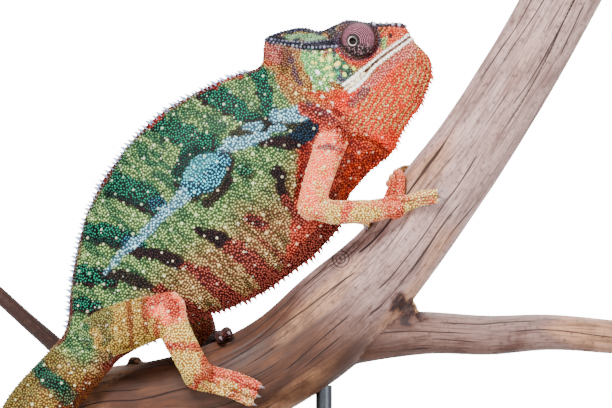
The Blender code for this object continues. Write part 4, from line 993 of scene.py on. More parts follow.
def paint_trunk(inks, at, on_body):
    low = smoothly(at.level + 0.08 * layered_noise(at.points, 9.0, 21), 0.5, 0.75)
    inks.lay(low * on_body, "low flank")
    wave = 2.2 * noise(at.points, 7.0, 26)
    drawn_out = np.stack([(at.s + wave) / 1.25, (at.from_back() + wave) / 6.0, at.points[:, 1] / 30], axis=1)
    lines = noise(drawn_out, 1.0, 22)
    clouds = smoothly(layered_noise(at.points, 16.0, 20), -0.35, 0.35)
    upper = (1 - low) * (0.7 + 0.3 * clouds)
    inks.lay(smoothly(lines, -0.1, 0.3) * upper * 0.9 * on_body, "fine green")
    inks.lay(smoothly(lines, 0.05, 0.35) * low * 0.75 * on_body, "fine olive")
    spots = layered_noise(at.points, 2.4, 23)
    inks.lay(smoothly(spots, 0.4, 0.6) * low * 0.5 * on_body, "dark red")
    lay_strokes(inks, at, TRUNK_STROKES, on_body)
    belly = (1 - smoothly(at.from_belly() + 1.5 * noise(at.points, 3.0, 24), 2.2, 4.5)) * smoothly(at.s, 60, 90)
    inks.lay(belly * on_body, "maroon")
    back = (1 - smoothly(at.from_back() + 1.2 * noise(at.points, 4.0, 25), 0.8, 2.6)) * smoothly(at.s, 60, 75)
    inks.lay(back * 0.85 * on_body, "back rim")
    paint_under_fold(inks, at, on_body)


def paint_tail(inks, at, on_tail):
    past = at.s - body.vent
    inks.lay(on_tail, "tail")
    rows = 0.5 + 0.5 * np.cos(at.s / TAIL_ROW * 2 * math.pi)
    inks.lay(smoothly(rows, 0.72, 1.0) * 0.45 * on_tail, "fine green")
    bands = 0.5 + 0.5 * np.cos((past - 22) / TAIL_BAND * 2 * math.pi + noise(at.points, 6.0, 31))
    top = 1 - smoothly(at.level + 0.1 * noise(at.points, 4.0, 32), 0.22, 0.5)
    inks.lay(np.maximum(smoothly(bands, 0.62, 0.85) * (1 - smoothly(at.level, 0.6, 0.85)), top * 0.4) * on_tail,
             "tail green")
    under = smoothly(at.level + 0.1 * noise(at.points, 3.0, 33), 0.68, 0.86)
    inks.lay(under * 0.85 * on_tail, "under tail")
    inks.lay(smoothly(past, 120, 215) * 0.55 * on_tail, "brown")
    lay_strokes(inks, at, [stroke for stroke in TRUNK_STROKES if stroke[0] == "tail bar"], on_tail)


def paint_head(inks, at, on_head):
    inks.lay(on_head, "neck")
    below = smoothly(at.level + 0.04 * layered_noise(at.points, 4.0, 27), 0.48, 0.58)
    inks.lay(below * on_head, "throat")
    lay_strokes(inks, at, HEAD_STROKES, on_head)
    rows = 0.5 + 0.5 * np.cos(at.from_belly() / THROAT_ROW * 2 * math.pi)
    broken = smoothly(noise(at.points, 1.8, 28), -0.75, -0.2)
    on_throat = smoothly(at.level, 0.6, 0.7) * (1 - smoothly(at.rows, 128, 138))
    inks.lay(smoothly(rows, 0.38, 0.7) * broken * on_throat * on_head, "throat row")
    paint_under_fold(inks, at, on_head)
    flecks = layered_noise(at.points, 2.2, 19)
    inks.lay(smoothly(flecks, 0.30, 0.5) * 0.75 * (1 - below) * smoothly(at.level, 0.3, 0.4) * on_head, "brown")
    cheek_lines = smoothly(np.cos(at.columns / 4.2 * 2 * math.pi + noise(at.points, 5.0, 30)), 0.45, 0.8)
    cheek = stroke_reach(at.columns, at.rows, ((312, 54, 8), (320, 80, 9))) > 0
    inks.lay(cheek_lines * cheek * 0.7 * on_head, "teal")
    ring = bump(spot_distance(at.columns, at.rows, EYE_SPOT) - 20.0, 3.2) * at.aside(4.0, 6.5)
    inks.lay(ring * 0.85 * on_head, "grey purple")
    off_middle = at.aside(0.4, 1.6)
    for line in (UPPER_LIP, LOWER_LIP):
        inks.lay((1 - smoothly(line_distance(at.columns, at.rows, line), 1.3, 2.3)) * off_middle * on_head, "lip")
    mouth = 1 - smoothly(line_distance(at.columns, at.rows, MOUTH), 0.6, 1.3)
    nostril = spot_distance(at.columns, at.rows, NOSTRIL_SPOT)
    mouth = mouth * np.interp(at.columns, (382, 391), (1.0, 0.6))
    # Painted shade: the nostril's opening takes the mouth line's near-black colour.
    mouth = np.maximum(mouth, 1 - smoothly(nostril, 1.5, 2.6))
    inks.lay(mouth * off_middle * on_head, "mouth")


# How far down a leg each colour reaches: start and end of its soft edge, colour, share
FORELEG_PAINT = ((0.0, 0.1, "arm", 1.0), (0.88, 1.15, "cream", 0.75), (1.7, 1.95, "pink red", 0.8),
                 (2.2, 2.6, "cream", 0.85))
HINDLEG_PAINT = ((0.0, 0.1, "thigh", 1.0), (0.72, 0.95, "arm", 1.0), (1.12, 1.3, "yellow", 1.0),
                 (1.85, 2.1, "pink red", 0.7), (2.25, 2.55, "cream", 0.9))


FORELEG_STROKES = (
    ("arm top", "red", 5, 0.6, ((338, 138, 4), (341, 160, 4), (337, 184, 4))),
    ("arm yellow", "yellow", 5, 0.55, ((318, 184, 5), (323, 200, 5))),
    ("shoulder patch", "purple grey", 3, 0.8, ((320, 148, 2.5), (330, 147, 3), (340, 150, 2))),
    ("forearm cream", "yellow", 4, 0.9, ((332, 212, 8), (338, 214, 8))),
    ("forearm band", "pink red", 3, 0.9, ((349, 204, 4), (345, 212, 4), (342, 222, 3))),
    ("forearm cream 2", "yellow", 4, 0.9, ((358, 213, 8), (374, 212, 7))),
    ("wrist red", "red", 4, 0.75, ((374, 224, 4), (396, 222, 5), (402, 210, 3))),
    ("palm cream", "yellow", 3, 0.9, ((409, 208, 5), (412, 204, 5))),
    # Painted shade in the groove between the fore toes.
    ("finger groove shade", "dark red", 1, 0.7, ((410, 204, 1.2), (434, 198, 1.2))),
    ("thumb", "salmon", 3, 0.9, ((384, 199, 5), (396, 186, 9), (402, 176, 7))),
)
HINDLEG_STROKES = (
    ("thigh green", "fine green", 6, 0.6, ((92, 322, 9), (106, 314, 9), (108, 338, 6))),
    ("thigh olive", "thigh", 4, 0.9, ((122, 326, 10), (140, 322, 9), (160, 330, 8))),
    ("streak 1", "dark red", 3, 0.7, ((131, 302, 3), (133, 345, 3))),
    ("streak 2", "dark red", 3, 0.7, ((146, 300, 4), (148, 330, 3))),
    ("streak 3", "red", 3, 0.7, ((158, 318, 3), (160, 346, 3))),
    ("knee", "red", 4, 0.9, ((152, 300, 6), (166, 296, 8), (176, 308, 8))),
    ("shin yellow", "yellow", 4, 0.9, ((176, 332, 9), (190, 332, 9))),
    ("shin band", "red", 3, 0.85, ((170, 345, 3), (186, 344, 4), (204, 348, 4))),
    ("shin yellow 2", "yellow", 4, 0.9, ((178, 360, 8), (192, 362, 10), (186, 378, 8))),
    ("ankle red", "red", 4, 0.75, ((206, 358, 6), (212, 370, 7), (196, 386, 3))),
    ("foot yellow", "yellow", 4, 0.85, ((206, 386, 7), (222, 388, 7), (236, 384, 5))),
    ("foot red", "pink red", 4, 0.85, ((222, 370, 5), (238, 376, 6), (256, 388, 7))),
    # Painted shade in the grooves between the hind toes.
    ("toe groove shade 1", "dark red", 1, 0.75, ((238, 381, 1.2), (262, 390, 1.3))),
    ("toe groove shade 2", "dark red", 1, 0.75, ((232, 388, 1.2), (259, 400, 1.3))),
    ("heel lines", "red", 2, 0.6, ((196, 378, 1.5), (208, 386, 1.5), (220, 396, 1.5))),
)


def paint_legs(inks, at, on_leg):
    fore = np.isin(at.leg, (0, 1))
    spread = 0.12 * layered_noise(at.points, 4.0, 34)
    for is_it, steps in ((fore, FORELEG_PAINT), (~fore, HINDLEG_PAINT)):
        for start, end, paint, share in steps:
            inks.lay(smoothly(at.down + spread, start, end) * share * on_leg * is_it, paint)
    mottle = layered_noise(at.points, 3.4, 35)
    inks.lay(smoothly(mottle, 0.1, 0.35) * smoothly(at.down, 0.9, 1.2) * 0.75 * on_leg, "pink red")
    inks.lay(smoothly(mottle, 0.25, 0.5) * (1 - smoothly(at.down, 0.8, 1.1)) * 0.5 * on_leg, "dark red")
    bands = smoothly(np.cos(at.down * 2 * math.pi * 2.6 + 1.4 * noise(at.points, 5.0, 36)), 0.5, 0.85)
    inks.lay(bands * 0.7 * smoothly(at.down, 1.1, 1.4) * (~fore) * on_leg, "red")
    inks.lay(smoothly(noise(at.points, 5.5, 37), 0.3, 0.5) * 0.5 * fore * on_leg, "yellow")
    lay_strokes(inks, at, FORELEG_STROKES, fore * on_leg)
    lay_strokes(inks, at, HINDLEG_STROKES, (at.leg == LEG_NAMES.index("hindleg_right")) * on_leg)
    hidden = (at.leg == LEG_NAMES.index("hindleg_left")) * on_leg
    inks.lay(hidden * 0.85 * smoothly(at.down, 0.8, 1.1), "dark red")
    # Painted shadow: the far hind foot, behind the branch, is laid black.
    inks.lay(hidden * 0.9 * smoothly(at.down, 1.7, 2.0), "black")
    # Painted shade: the creases between the toes are darkened.
    inks.lay(toe_crease(at) * 0.85 * on_leg, "dark red")


def colours_at(at):
    """The scale colour and the gap colour of every place."""
    inks = Inks(len(at.points), "flank")
    on_head = 1 - smoothly(at.s, body.nape - 1.0, body.nape + 3.0)
    on_tail = smoothly(at.s, body.vent + 4.0, body.vent + 14.0)
    paint_trunk(inks, at, np.ones(len(at.points)))
    paint_tail(inks, at, on_tail)
    paint_head(inks, at, on_head)
    paint_legs(inks, at, at.on_leg)
    return inks.scale, inks.gap


clock = time.time()
scale_ink, gap_ink = colours_at(at)
print("colours of", len(at.points), "places in", round(time.time() - clock, 1), "s")

# %% [markdown]
# Skin and scales share one finish: satin, with painted shade that darkens each scale towards the seams between scales,
# and a fine grain on each scale.
# The colour comes from the mesh, as an attribute called marking, and a second one called rise says how high
# a point lies on its scale. The shared steps are one node group, and each material sets its own sheen.

# %% The finish of skin and scales
SCALY_INPUTS = (("Grain Size", "Float", 2600.0), ("Painted Seam Shade", "Float", 0.55), ("Bump", "Float", 0.25))
SURFACE_OUTPUTS = (("Color", "Color"), ("Roughness", "Float"), ("Normal", "Vector"))


def new_tree(name, kind, inputs, outputs):
    """A node tree with named sockets, and what it is given through them."""
    tree = bpy.data.node_groups.new(name, kind)
    for socket_name, socket_kind, value in inputs:
        socket = tree.interface.new_socket(socket_name, in_out="INPUT", socket_type="NodeSocket" + socket_kind)
        if value is not None:
            socket.default_value = value
    for socket_name, socket_kind in outputs:
        tree.interface.new_socket(socket_name, in_out="OUTPUT", socket_type="NodeSocket" + socket_kind)
    return tree, tree.nodes.new("NodeGroupInput").outputs


def new_material(name):
    """A material, its tree and its shader."""
    material = bpy.data.materials.new(name)
    material.use_nodes = True
    return material, material.node_tree, material.node_tree.nodes["Principled BSDF"]


def feed(tree, made, inputs):
    """Sets each input of a node to a value, or links it to a socket."""
    for key, value in inputs.items():
        if isinstance(value, bpy.types.NodeSocket):
            tree.links.new(value, made.inputs[key])
        else:
            made.inputs[key].default_value = value
    return made


def node(tree, kind, inputs=None, **settings):
    """A node with its settings, and its inputs set to a value or linked to a socket."""
    made = tree.nodes.new(kind)
    for key, value in settings.items():
        setattr(made, key, value)
    return feed(tree, made, inputs or {})


def math_node(tree, operation, *values):
    return node(tree, "ShaderNodeMath", dict(enumerate(values)), operation=operation).outputs[0]


def mix_colour(tree, share, first, second, blend="MIX"):
    return node(tree, "ShaderNodeMix", {0: share, 6: first, 7: second}, data_type="RGBA",
                blend_type=blend).outputs[2]


def ranged(tree, source, low, high, start=0.0, end=1.0):
    return node(tree, "ShaderNodeMapRange", {0: source, 1: low, 2: high, 3: start, 4: end}).outputs[0]


def attribute(tree, name, output="Fac"):
    return node(tree, "ShaderNodeAttribute", attribute_name=name).outputs[output]


def fine_noise(tree, scale, detail=2.0):
    """Noise in the object's own space: `scale` patches to the metre."""
    place = node(tree, "ShaderNodeTexCoord").outputs["Object"]
    return node(tree, "ShaderNodeTexNoise", {"Vector": place, "Scale": scale, "Detail": detail}).outputs["Fac"]


def grey(tree, value):
    return node(tree, "ShaderNodeCombineColor", {0: value, 1: value, 2: value}).outputs[0]


def ink(colour):
    return (*display(colour), 1.0)


def scale_group():
    """Colour, roughness and normal of a scaly surface."""
    tree, given = new_tree("scaly_surface", "ShaderNodeTree", SCALY_INPUTS, SURFACE_OUTPUTS)
    grain = fine_noise(tree, given["Grain Size"], 3.0)
    seam = ranged(tree, attribute(tree, "rise"), 0.0, 0.7, 1.0, 0.0)
    # Painted shade: low on each scale the colour is darkened towards near black, by the painted seam shade.
    dark = mix_colour(tree, math_node(tree, "MULTIPLY", seam, given["Painted Seam Shade"]),
                      attribute(tree, "marking", "Color"), (0.012, 0.010, 0.012, 1.0))
    shade = grey(tree, ranged(tree, grain, 0.3, 0.7, 0.78, 1.16))
    rough = ranged(tree, fine_noise(tree, 160.0), 0.3, 0.7, 0.34, 0.50)
    relief = node(tree, "ShaderNodeBump", {"Strength": given["Bump"], "Distance": 0.00025, "Height": grain})
    feed(tree, tree.nodes.new("NodeGroupOutput"), {
        0: mix_colour(tree, 1.0, dark, shade, "MULTIPLY"),
        1: math_node(tree, "ADD", rough, math_node(tree, "MULTIPLY", seam, 0.2)), 2: relief.outputs[0]})
    return tree


SCALY = scale_group()


def scaly_material(name, grain=2600.0, seam=0.55, relief=0.25, shine=0.5):
    material, tree, shader = new_material(name)
    group = node(tree, "ShaderNodeGroup", {0: grain, 1: seam, 2: relief}, node_tree=SCALY)
    feed(tree, shader, {"Base Color": group.outputs[0], "Roughness": group.outputs[1],
                        "Normal": group.outputs[2], "Specular IOR Level": shine})
    return material


SKIN_FINISH = scaly_material("chameleon_skin", seam=0.0, relief=0.5, shine=0.1)
FINISHES = {
    "head_skin": scaly_material("head_scales", 2900.0, 0.4, 0.2, shine=0.25),
    "body_skin": scaly_material("body_scales", 2600.0, 0.4, 0.25, shine=0.16),
    "tail_skin": scaly_material("tail_scales", 2600.0, 0.4, 0.25, shine=0.16),
    "limb_skin": scaly_material("limb_scales", 3000.0, 0.3, 0.25, shine=0.2),
    "turret_skin": scaly_material("turret_scales", 3200.0, 0.5, 0.2, shine=0.3),
}
print("finishes:", [material.name for material in FINISHES.values()])

# %% [markdown]
# The skin is one closed mesh from the snout to the tip of the tail, so no joint shows between the body's parts.
# It shows only in the seams between scales, so it carries the gap colours.

# %% The skin
FLESH = ["head", "neck", "torso"] + [f"tail_length_{index}" for index in range(1, 7)]
FLESH += [f"{part}_{side}" for side in ("right", "left") for part in
          ("foreleg_upper", "foreleg_lower", "forefoot", "hindleg_upper", "hindleg_lower", "hindfoot")]


def mesh_from(name, points, faces):
    """A mesh in metres from points in millimetres."""
    mesh = bpy.data.meshes.new(name)
    faces = faces.tolist() if isinstance(faces, np.ndarray) else faces
    mesh.from_pydata((np.asarray(points, float) * MM).tolist(), [], faces)
    mesh.polygons.foreach_set("use_smooth", np.ones(len(mesh.polygons), bool))
    mesh.update()
    return mesh


def store_colours(mesh, colours):
    """One colour for each point, under the name that every finish reads."""
    layer = mesh.color_attributes.new("marking", "FLOAT_COLOR", "POINT")
    layer.data.foreach_set("color", np.column_stack([colours, np.ones(len(colours))]).astype(np.float32).ravel())


def store_values(mesh, values, name="rise"):
    """One number or one vector for each point, under a name that materials and trees read."""
    values = np.asarray(values, np.float32)
    kind, key = ("FLOAT", "value") if values.ndim == 1 else ("FLOAT_VECTOR", "vector")
    mesh.attributes.new(name, kind, "POINT").data.foreach_set(key, values.ravel())


def finished_piece(thing, replaced=(), material=None):
    """Gives a piece its finish, hangs it under the root, and hides the solids that it replaces."""
    if material:
        thing.data.materials.clear()
        thing.data.materials.append(material)
    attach(thing, "root")
    if replaced:
        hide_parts(*replaced)


skin_mesh = mesh_from("skin", skin_points, skin_faces)
store_colours(skin_mesh, gap_ink)
store_values(skin_mesh, np.full(len(skin_points), 0.5))
finished_piece(new_object("skin", skin_mesh), FLESH, SKIN_FINISH)
print("skin triangles:", 2 * len(skin_faces))

# %% [markdown]
# Granules are low, six-sided domes that lie beside each other without overlapping. A Geometry Nodes tree spreads
# them: points are placed on a region of the skin no nearer to each other than a set spacing, and each gets
# one dome, turned and sized at random. Legs and head have finer granules than the flank, so each region
# is its own piece with its own spacing.

# %% The tree that scatters granules
SCATTER_INPUTS = (("Region", "Geometry", None), ("Granule", "Object", None), ("Spacing", "Float", 0.001),
                  ("Density", "Float", 3e6), ("Smallest", "Float", 0.8), ("Largest", "Float", 1.2),
                  ("Seed", "Int", 1), ("Finish", "Material", None))
PLACE_INPUTS = (("Points", "Geometry", None), ("Shape", "Object", None), ("Finish", "Material", None))
SCALES_OUTPUT = (("Scales", "Geometry"),)


def scale_mesh(name, sides, rings, crown):
    """A dome or spine round the Z axis through rings of (reach, height, lean), closed by its crown and foot."""
    angles = np.linspace(0, 2 * math.pi, sides, endpoint=False)
    points = np.concatenate([np.column_stack([np.cos(angles) * reach + lean, np.sin(angles) * reach,
                                              np.full(sides, height)]) for reach, height, lean in rings] + [[crown]])
    beside = [(here, (here + 1) % sides) for here in range(sides)]
    top = (len(rings) - 1) * sides
    faces = [(row + here, row + there, row + sides + there, row + sides + here)
             for row in range(0, top, sides) for here, there in beside]
    faces += [(top + here, top + there, top + sides) for here, there in beside]
    faces.append(tuple(range(sides))[::-1])
    mesh = bpy.data.meshes.new(name)
    mesh.from_pydata(points.tolist(), [], faces)
    mesh.polygons.foreach_set("use_smooth", np.arange(len(faces)) < len(faces) - 1)
    store_values(mesh, points, "local")
    return mesh


def shapes_on_points(tree, points, shape, rotation, size, finish):
    """One shape on every point as real geometry with its finish. Each scale keeps its root."""
    place = node(tree, "GeometryNodeInputPosition").outputs[0]
    marked = node(tree, "GeometryNodeStoreNamedAttribute", {"Geometry": points, "Name": "root", "Value": place},
                  data_type="FLOAT_VECTOR", domain="POINT").outputs[0]
    one = node(tree, "GeometryNodeObjectInfo", {"Object": shape}).outputs["Geometry"]
    placed = node(tree, "GeometryNodeInstanceOnPoints",
                  {"Points": marked, "Instance": one, "Rotation": rotation, "Scale": size}).outputs[0]
    real = node(tree, "GeometryNodeRealizeInstances", {"Geometry": placed}).outputs[0]
    last = node(tree, "GeometryNodeSetMaterial", {"Geometry": real, "Material": finish}).outputs[0]
    feed(tree, tree.nodes.new("NodeGroupOutput"), {0: last})
    return tree


def scatter_tree():
    """Spreads points over a region no nearer than the spacing, and turns and sizes a granule on each."""
    tree, given = new_tree("scatter_granules", "GeometryNodeTree", SCATTER_INPUTS, SCALES_OUTPUT)
    spread = node(tree, "GeometryNodeDistributePointsOnFaces",
                  {"Mesh": given["Region"], "Distance Min": given["Spacing"], "Density Max": given["Density"],
                   "Seed": given["Seed"]}, distribute_method="POISSON").outputs
    turn, size = [node(tree, "FunctionNodeRandomValue", {2: low, 3: high, "Seed": given["Seed"]},
                       data_type="FLOAT").outputs[1]
                  for low, high in ((0.0, 2 * math.pi), (given["Smallest"], given["Largest"]))]
    about = node(tree, "ShaderNodeCombineXYZ", {"Z": turn}).outputs[0]
    spin = node(tree, "FunctionNodeEulerToRotation", {0: about}).outputs[0]
    rotation = node(tree, "FunctionNodeRotateRotation", {0: spread["Rotation"], 1: spin},
                    rotation_space="LOCAL").outputs[0]
    radius = math_node(tree, "MULTIPLY", size, given["Spacing"])
    return shapes_on_points(tree, spread["Points"], given["Granule"], rotation, radius, given["Finish"])


def place_tree():
    """Puts one shape on every given point, along its own directions and at its own size."""
    tree, given = new_tree("place_scales", "GeometryNodeTree", PLACE_INPUTS, SCALES_OUTPUT)
    way, along, size = [node(tree, "GeometryNodeInputNamedAttribute", {"Name": name},
                             data_type="FLOAT_VECTOR").outputs[0] for name in ("way", "along", "size")]
    rotation = node(tree, "FunctionNodeAxesToRotation", {0: way, 1: along},
                    primary_axis="Z", secondary_axis="X").outputs[0]
    return shapes_on_points(tree, given["Points"], given["Shape"], rotation, size, given["Finish"])


def run_tree(name, mesh, tree, settings):
    """Runs a tree on a mesh and returns an object with the plain result."""
    carrier = new_object(name + "_carrier", mesh)
    modifier = carrier.modifiers.new("scales", "NODES")
    modifier.node_group = tree
    sockets = {item.name: item.identifier for item in tree.interface.items_tree
               if item.item_type == "SOCKET" and item.in_out == "INPUT"}
    for key, value in settings.items():
        modifier[sockets[key]] = value
    made = evaluated_mesh(carrier)
    made.name = name
    bpy.data.objects.remove(carrier, do_unlink=True)
    bpy.data.meshes.remove(mesh)
    return new_object(name, made)


SCATTER = scatter_tree()
PLACE = place_tree()
print("trees:", SCATTER.name, PLACE.name)

# %% [markdown]
# After a tree has run, every scale still knows its root, the place on the skin that it grew from. The colour of
# a whole scale is read at its root, so a scale is never half green and half red. The same root gives the
# scale its patch in the flat map called OFBake, which is an unwrap of the body's own places.

# %% Colour and map of finished scales
PATCH = 0.003             # width of one scale on the flat map
TOE_ROWS = 5
TREE_SEED = 5
FOOT_PAINTED_SHADE = 0.4           # painted shade: a lone scale's foot, against its crown
# Painted shade and highlight: a scale runs from the gap colour at its foot to its own colour, brightened at the crown.
# A scale's own colour starts high on it where the gap is dark, and low where the gap is pale
SHOULDER_RISE = 0.38
SHOULDER_BY_GAP = ((0.003, 0.07), (0.20, 0.78))  # two brightnesses of the gap, two shares of the scale's colour
# Painted highlight: the crown is brighter than the scale's own colour
CROWN_HIGHLIGHT_SHARE = 1.1
PALE_SHARE = 0.55         # how much white a pale granule takes on


def unwrap(at):
    """The place on the flat map: trunk, head and tail by section and turn, legs by length and turn."""
    around = at.level * 0.5
    around = np.where(at.side == NEAR, around, 1 - around)
    span = (at.s.min(), max(at.s.max(), at.s.min() + 1))
    body_map = np.column_stack([(at.s - span[0]) / (span[1] - span[0]), around])
    turn = (at.angle + math.pi) / (2 * math.pi)
    strip = np.where(at.toe >= 0, (at.toe + turn) / TOE_ROWS, turn)
    leg_map = np.column_stack([at.down / 3, strip])
    return np.where((at.on_leg > 0.5)[:, None], leg_map, body_map)


def finish_scales(thing, shape_mesh, slot_name, variety=0.14, colours=None, flat=None, pale=0.0, seed=0,
                  feet=FOOT_PAINTED_SHADE):
    """Colours every scale by its root, or as given, and lays out its patch on the flat map."""
    mesh = thing.data
    each = len(shape_mesh.vertices)
    root, local = [read_all(mesh.attributes[name].data, "vector", 3, np.float32).astype(float)
                   for name in ("root", "local")]
    root = root.reshape(-1, each, 3)[:, 0] / MM
    count = len(root)
    gaps = None if colours is None else colours * feet
    if flat is None:
        at = Places(root)
        flat = unwrap(at)
        if colours is None:
            colours, gaps = colours_at(at)
    dice = np.random.default_rng(TREE_SEED + seed)
    for strength, bands in ((1.0, 1), (0.5, 3)):
        colours = colours * (1 + strength * variety * dice.uniform(-1, 1, (count, bands)))
    if pale:
        chosen = dice.random(count) < pale
        colours[chosen] += PALE_SHARE * (INKS["white"][0] - colours[chosen])
    rise = np.clip(local[:, 2] / local[:each, 2].max(), 0, 1)
    # Painted shade towards each scale's foot and painted highlight on its crown, by the point's rise.
    shoulder = np.repeat(np.interp(gaps.mean(axis=1), *SHOULDER_BY_GAP), each)
    low, high = rise / SHOULDER_RISE, (rise - SHOULDER_RISE) / (1 - SHOULDER_RISE)
    share = np.where(low < 1, low * shoulder, shoulder + np.maximum(high, 0) * (CROWN_HIGHLIGHT_SHARE - shoulder))[:, None]
    blended = np.repeat(gaps, each, axis=0) * (1 - share) + np.repeat(colours, each, axis=0) * share
    store_colours(mesh, np.clip(blended, 0, 1))
    store_values(mesh, rise)
    spread = np.repeat(flat, each, axis=0) * (1 - PATCH) + PATCH / 2
    patch = spread + local[:, :2] * PATCH / (2 * np.abs(local[:each, :2]).max())
    corners = read_all(mesh.loops, "vertex_index", 1, np.int64).ravel()
    layer = mesh.uv_layers.new(name="OFBake")
    layer.data.foreach_set("uv", patch[corners].astype(np.float32).ravel())
    for name in ("root", "local"):
        mesh.attributes.remove(mesh.attributes[name])
    finished_piece(thing)
    return count


def region_mesh(name, chosen):
    """The skin's faces for which `chosen` is true, as a mesh of its own."""
    faces = skin_faces[chosen]
    used, compact = np.unique(faces, return_inverse=True)
    return mesh_from(name, skin_points[used], compact.reshape(faces.shape))


# %% The coat of granules
# name, sides, rings of (reach, height, lean) from the foot up, crown
SHAPES = {name: new_object(name, scale_mesh(name, sides, rings, crown)) for name, sides, rings, crown in (
    ("granule", 6, ((1.0, -0.45, 0), (0.84, 0.22, 0)), (0, 0, 0.46)),
    ("plate", 9, ((1.0, -0.6, 0), (0.93, 0.35, 0), (0.6, 0.8, 0)), (0, 0, 1)),
    ("spine", 6, ((1.0, -0.3, 0), (0.8, 0.15, 0), (0.42, 0.6, -0.3)), (-0.8, 0, 1)))}
granule = SHAPES["granule"]
face_at = {name: getattr(at, name)[skin_faces].mean(axis=1) for name in ("s", "level", "on_leg", "columns", "rows")}
face_y = skin_points[skin_faces][:, :, 1].mean(axis=1)
face_leg = at.leg[skin_faces].max(axis=1)
on_leg_face = face_at["on_leg"] > 0.5
head_face = ~on_leg_face & (face_at["s"] < body.nape + 1)
tail_face = ~on_leg_face & (face_at["s"] > body.vent + 8)
trunk_face = ~on_leg_face & ~head_face & ~tail_face
face_spots = face_at["columns"], face_at["rows"]
over_mouth = (line_distance(*face_spots, MOUTH) < 1.5) | (spot_distance(*face_spots, NOSTRIL_SPOT) < 2.0)
under_turret = (spot_distance(*face_spots, EYE_SPOT) < 15.5) & (np.abs(face_y) > 5.0) & head_face
throat_face = head_face & (face_at["level"] > 0.62)
front_trunk = face_at["s"] < body.nape + 70

# name, faces, slot, spacing in mm, radius as a share of the spacing, share of pale granules
COATS = [
    ("head_granules", head_face & ~throat_face & ~under_turret & ~over_mouth, "head_skin", 0.80, (0.50, 0.66), 0.02),
    ("throat_granules", throat_face & ~over_mouth, "head_skin", 0.85, (0.50, 0.70), 0.02),
    *[(f"{part}_granules_{side}", trunk_face & along & beside, "body_skin", 0.98, (0.48, 0.66), 0.015)
      for part, along in (("shoulder", front_trunk), ("flank", ~front_trunk))
      for side, beside in (("right", face_y < 0), ("left", face_y >= 0))],
    ("tail_granules", tail_face, "tail_skin", 0.95, (0.48, 0.66), 0.015),
]
COATS += [(name + "_granules", on_leg_face & (face_leg == index), "limb_skin", 0.86, (0.48, 0.68), 0.03)
          for index, name in enumerate(LEG_NAMES)]
coat_count = 0
for index, (name, chosen, slot_name, spacing, sizes, pale) in enumerate(COATS):
    thing = run_tree(name, region_mesh(name, chosen), SCATTER,
                     {"Granule": granule, "Spacing": spacing * MM, "Density": 3.2e6, "Smallest": sizes[0],
                      "Largest": sizes[1], "Seed": index + 3, "Finish": FINISHES[slot_name]})
    made = finish_scales(thing, granule.data, slot_name, pale=pale, seed=index)
    coat_count += made
    print(f"{name}: {made} granules")
print("granules in all:", coat_count, "after", round(time.time() - STARTED), "s")

# %% [markdown]
# Larger scales stand between the granules: round tubercles on the flank, labials along the lips, lumps over the
# nostrils, plates on the cheek and a row of spines along back, belly and throat. Each kind has listed
# or random roots, and one tree puts its shape on all of them. A root is found by shooting a ray at the skin.

# %% Single scales on the skin
SKIN_TREE = BVHTree.FromPolygons(skin_points.tolist(), skin_faces.tolist())


def on_skin(columns, rows, side):
    """Points of the skin, and its normals there, that lie over picture places on one side."""
    places, normals = [], []
    for x, z in zip(*on_plane(columns, rows)):
        hit, normal = SKIN_TREE.ray_cast(Vector((x, side * 80.0, z)), Vector((0.0, -side, 0.0)))[:2]
        if hit is None:
            hit, normal = SKIN_TREE.find_nearest(Vector((x, 0.0, z)))[:2]
        places.append(hit)
        normals.append(normal)
    return np.array(places), np.array(normals)


def place_scales(name, shape, roots, ways, alongs, sizes, slot_name, **options):
    """One shape on every root, in millimetres, as one finished piece."""
    mesh = mesh_from(name, roots, [])
    for key, values in (("way", ways), ("along", alongs), ("size", sizes * MM)):
        store_values(mesh, values, key)
    thing = run_tree(name, mesh, PLACE, {"Shape": SHAPES[shape], "Finish": FINISHES[slot_name]})
    made = finish_scales(thing, SHAPES[shape].data, slot_name, **options)
    print(f"{name}: {made} scales")


class Scales:
    """A growing list of single scales for one piece: root, way out, way along, size, colour, painted shade of the foot.
    """

    def __init__(self):
        self.rows = []

    def add(self, root, way, along, size, colour, foot=FOOT_PAINTED_SHADE):
        self.rows.append((root, way, along, size, colour, [foot]))

    def build(self, name, shape, slot_name, **options):
        roots, ways, alongs, sizes, colours, feet = [np.array(values, float) for values in zip(*self.rows)]
        place_scales(name, shape, roots, ways, alongs, sizes, slot_name, colours=colours, feet=feet, **options)


def along_line(line, spacing):
    """Evenly spread places on a line in picture steps, `spacing` millimetres apart, with their directions."""
    line = np.asarray(line, float)
    knots = lengths_along(line[:, :2])
    count = max(2, int(knots[-1] * STEP / spacing))
    fine = spline(knots, line, np.linspace(0, knots[-1], count))
    ways = np.gradient(fine[:, :2], axis=0)
    return fine, np.column_stack([ways[:, 0], np.zeros(count), -ways[:, 1]])


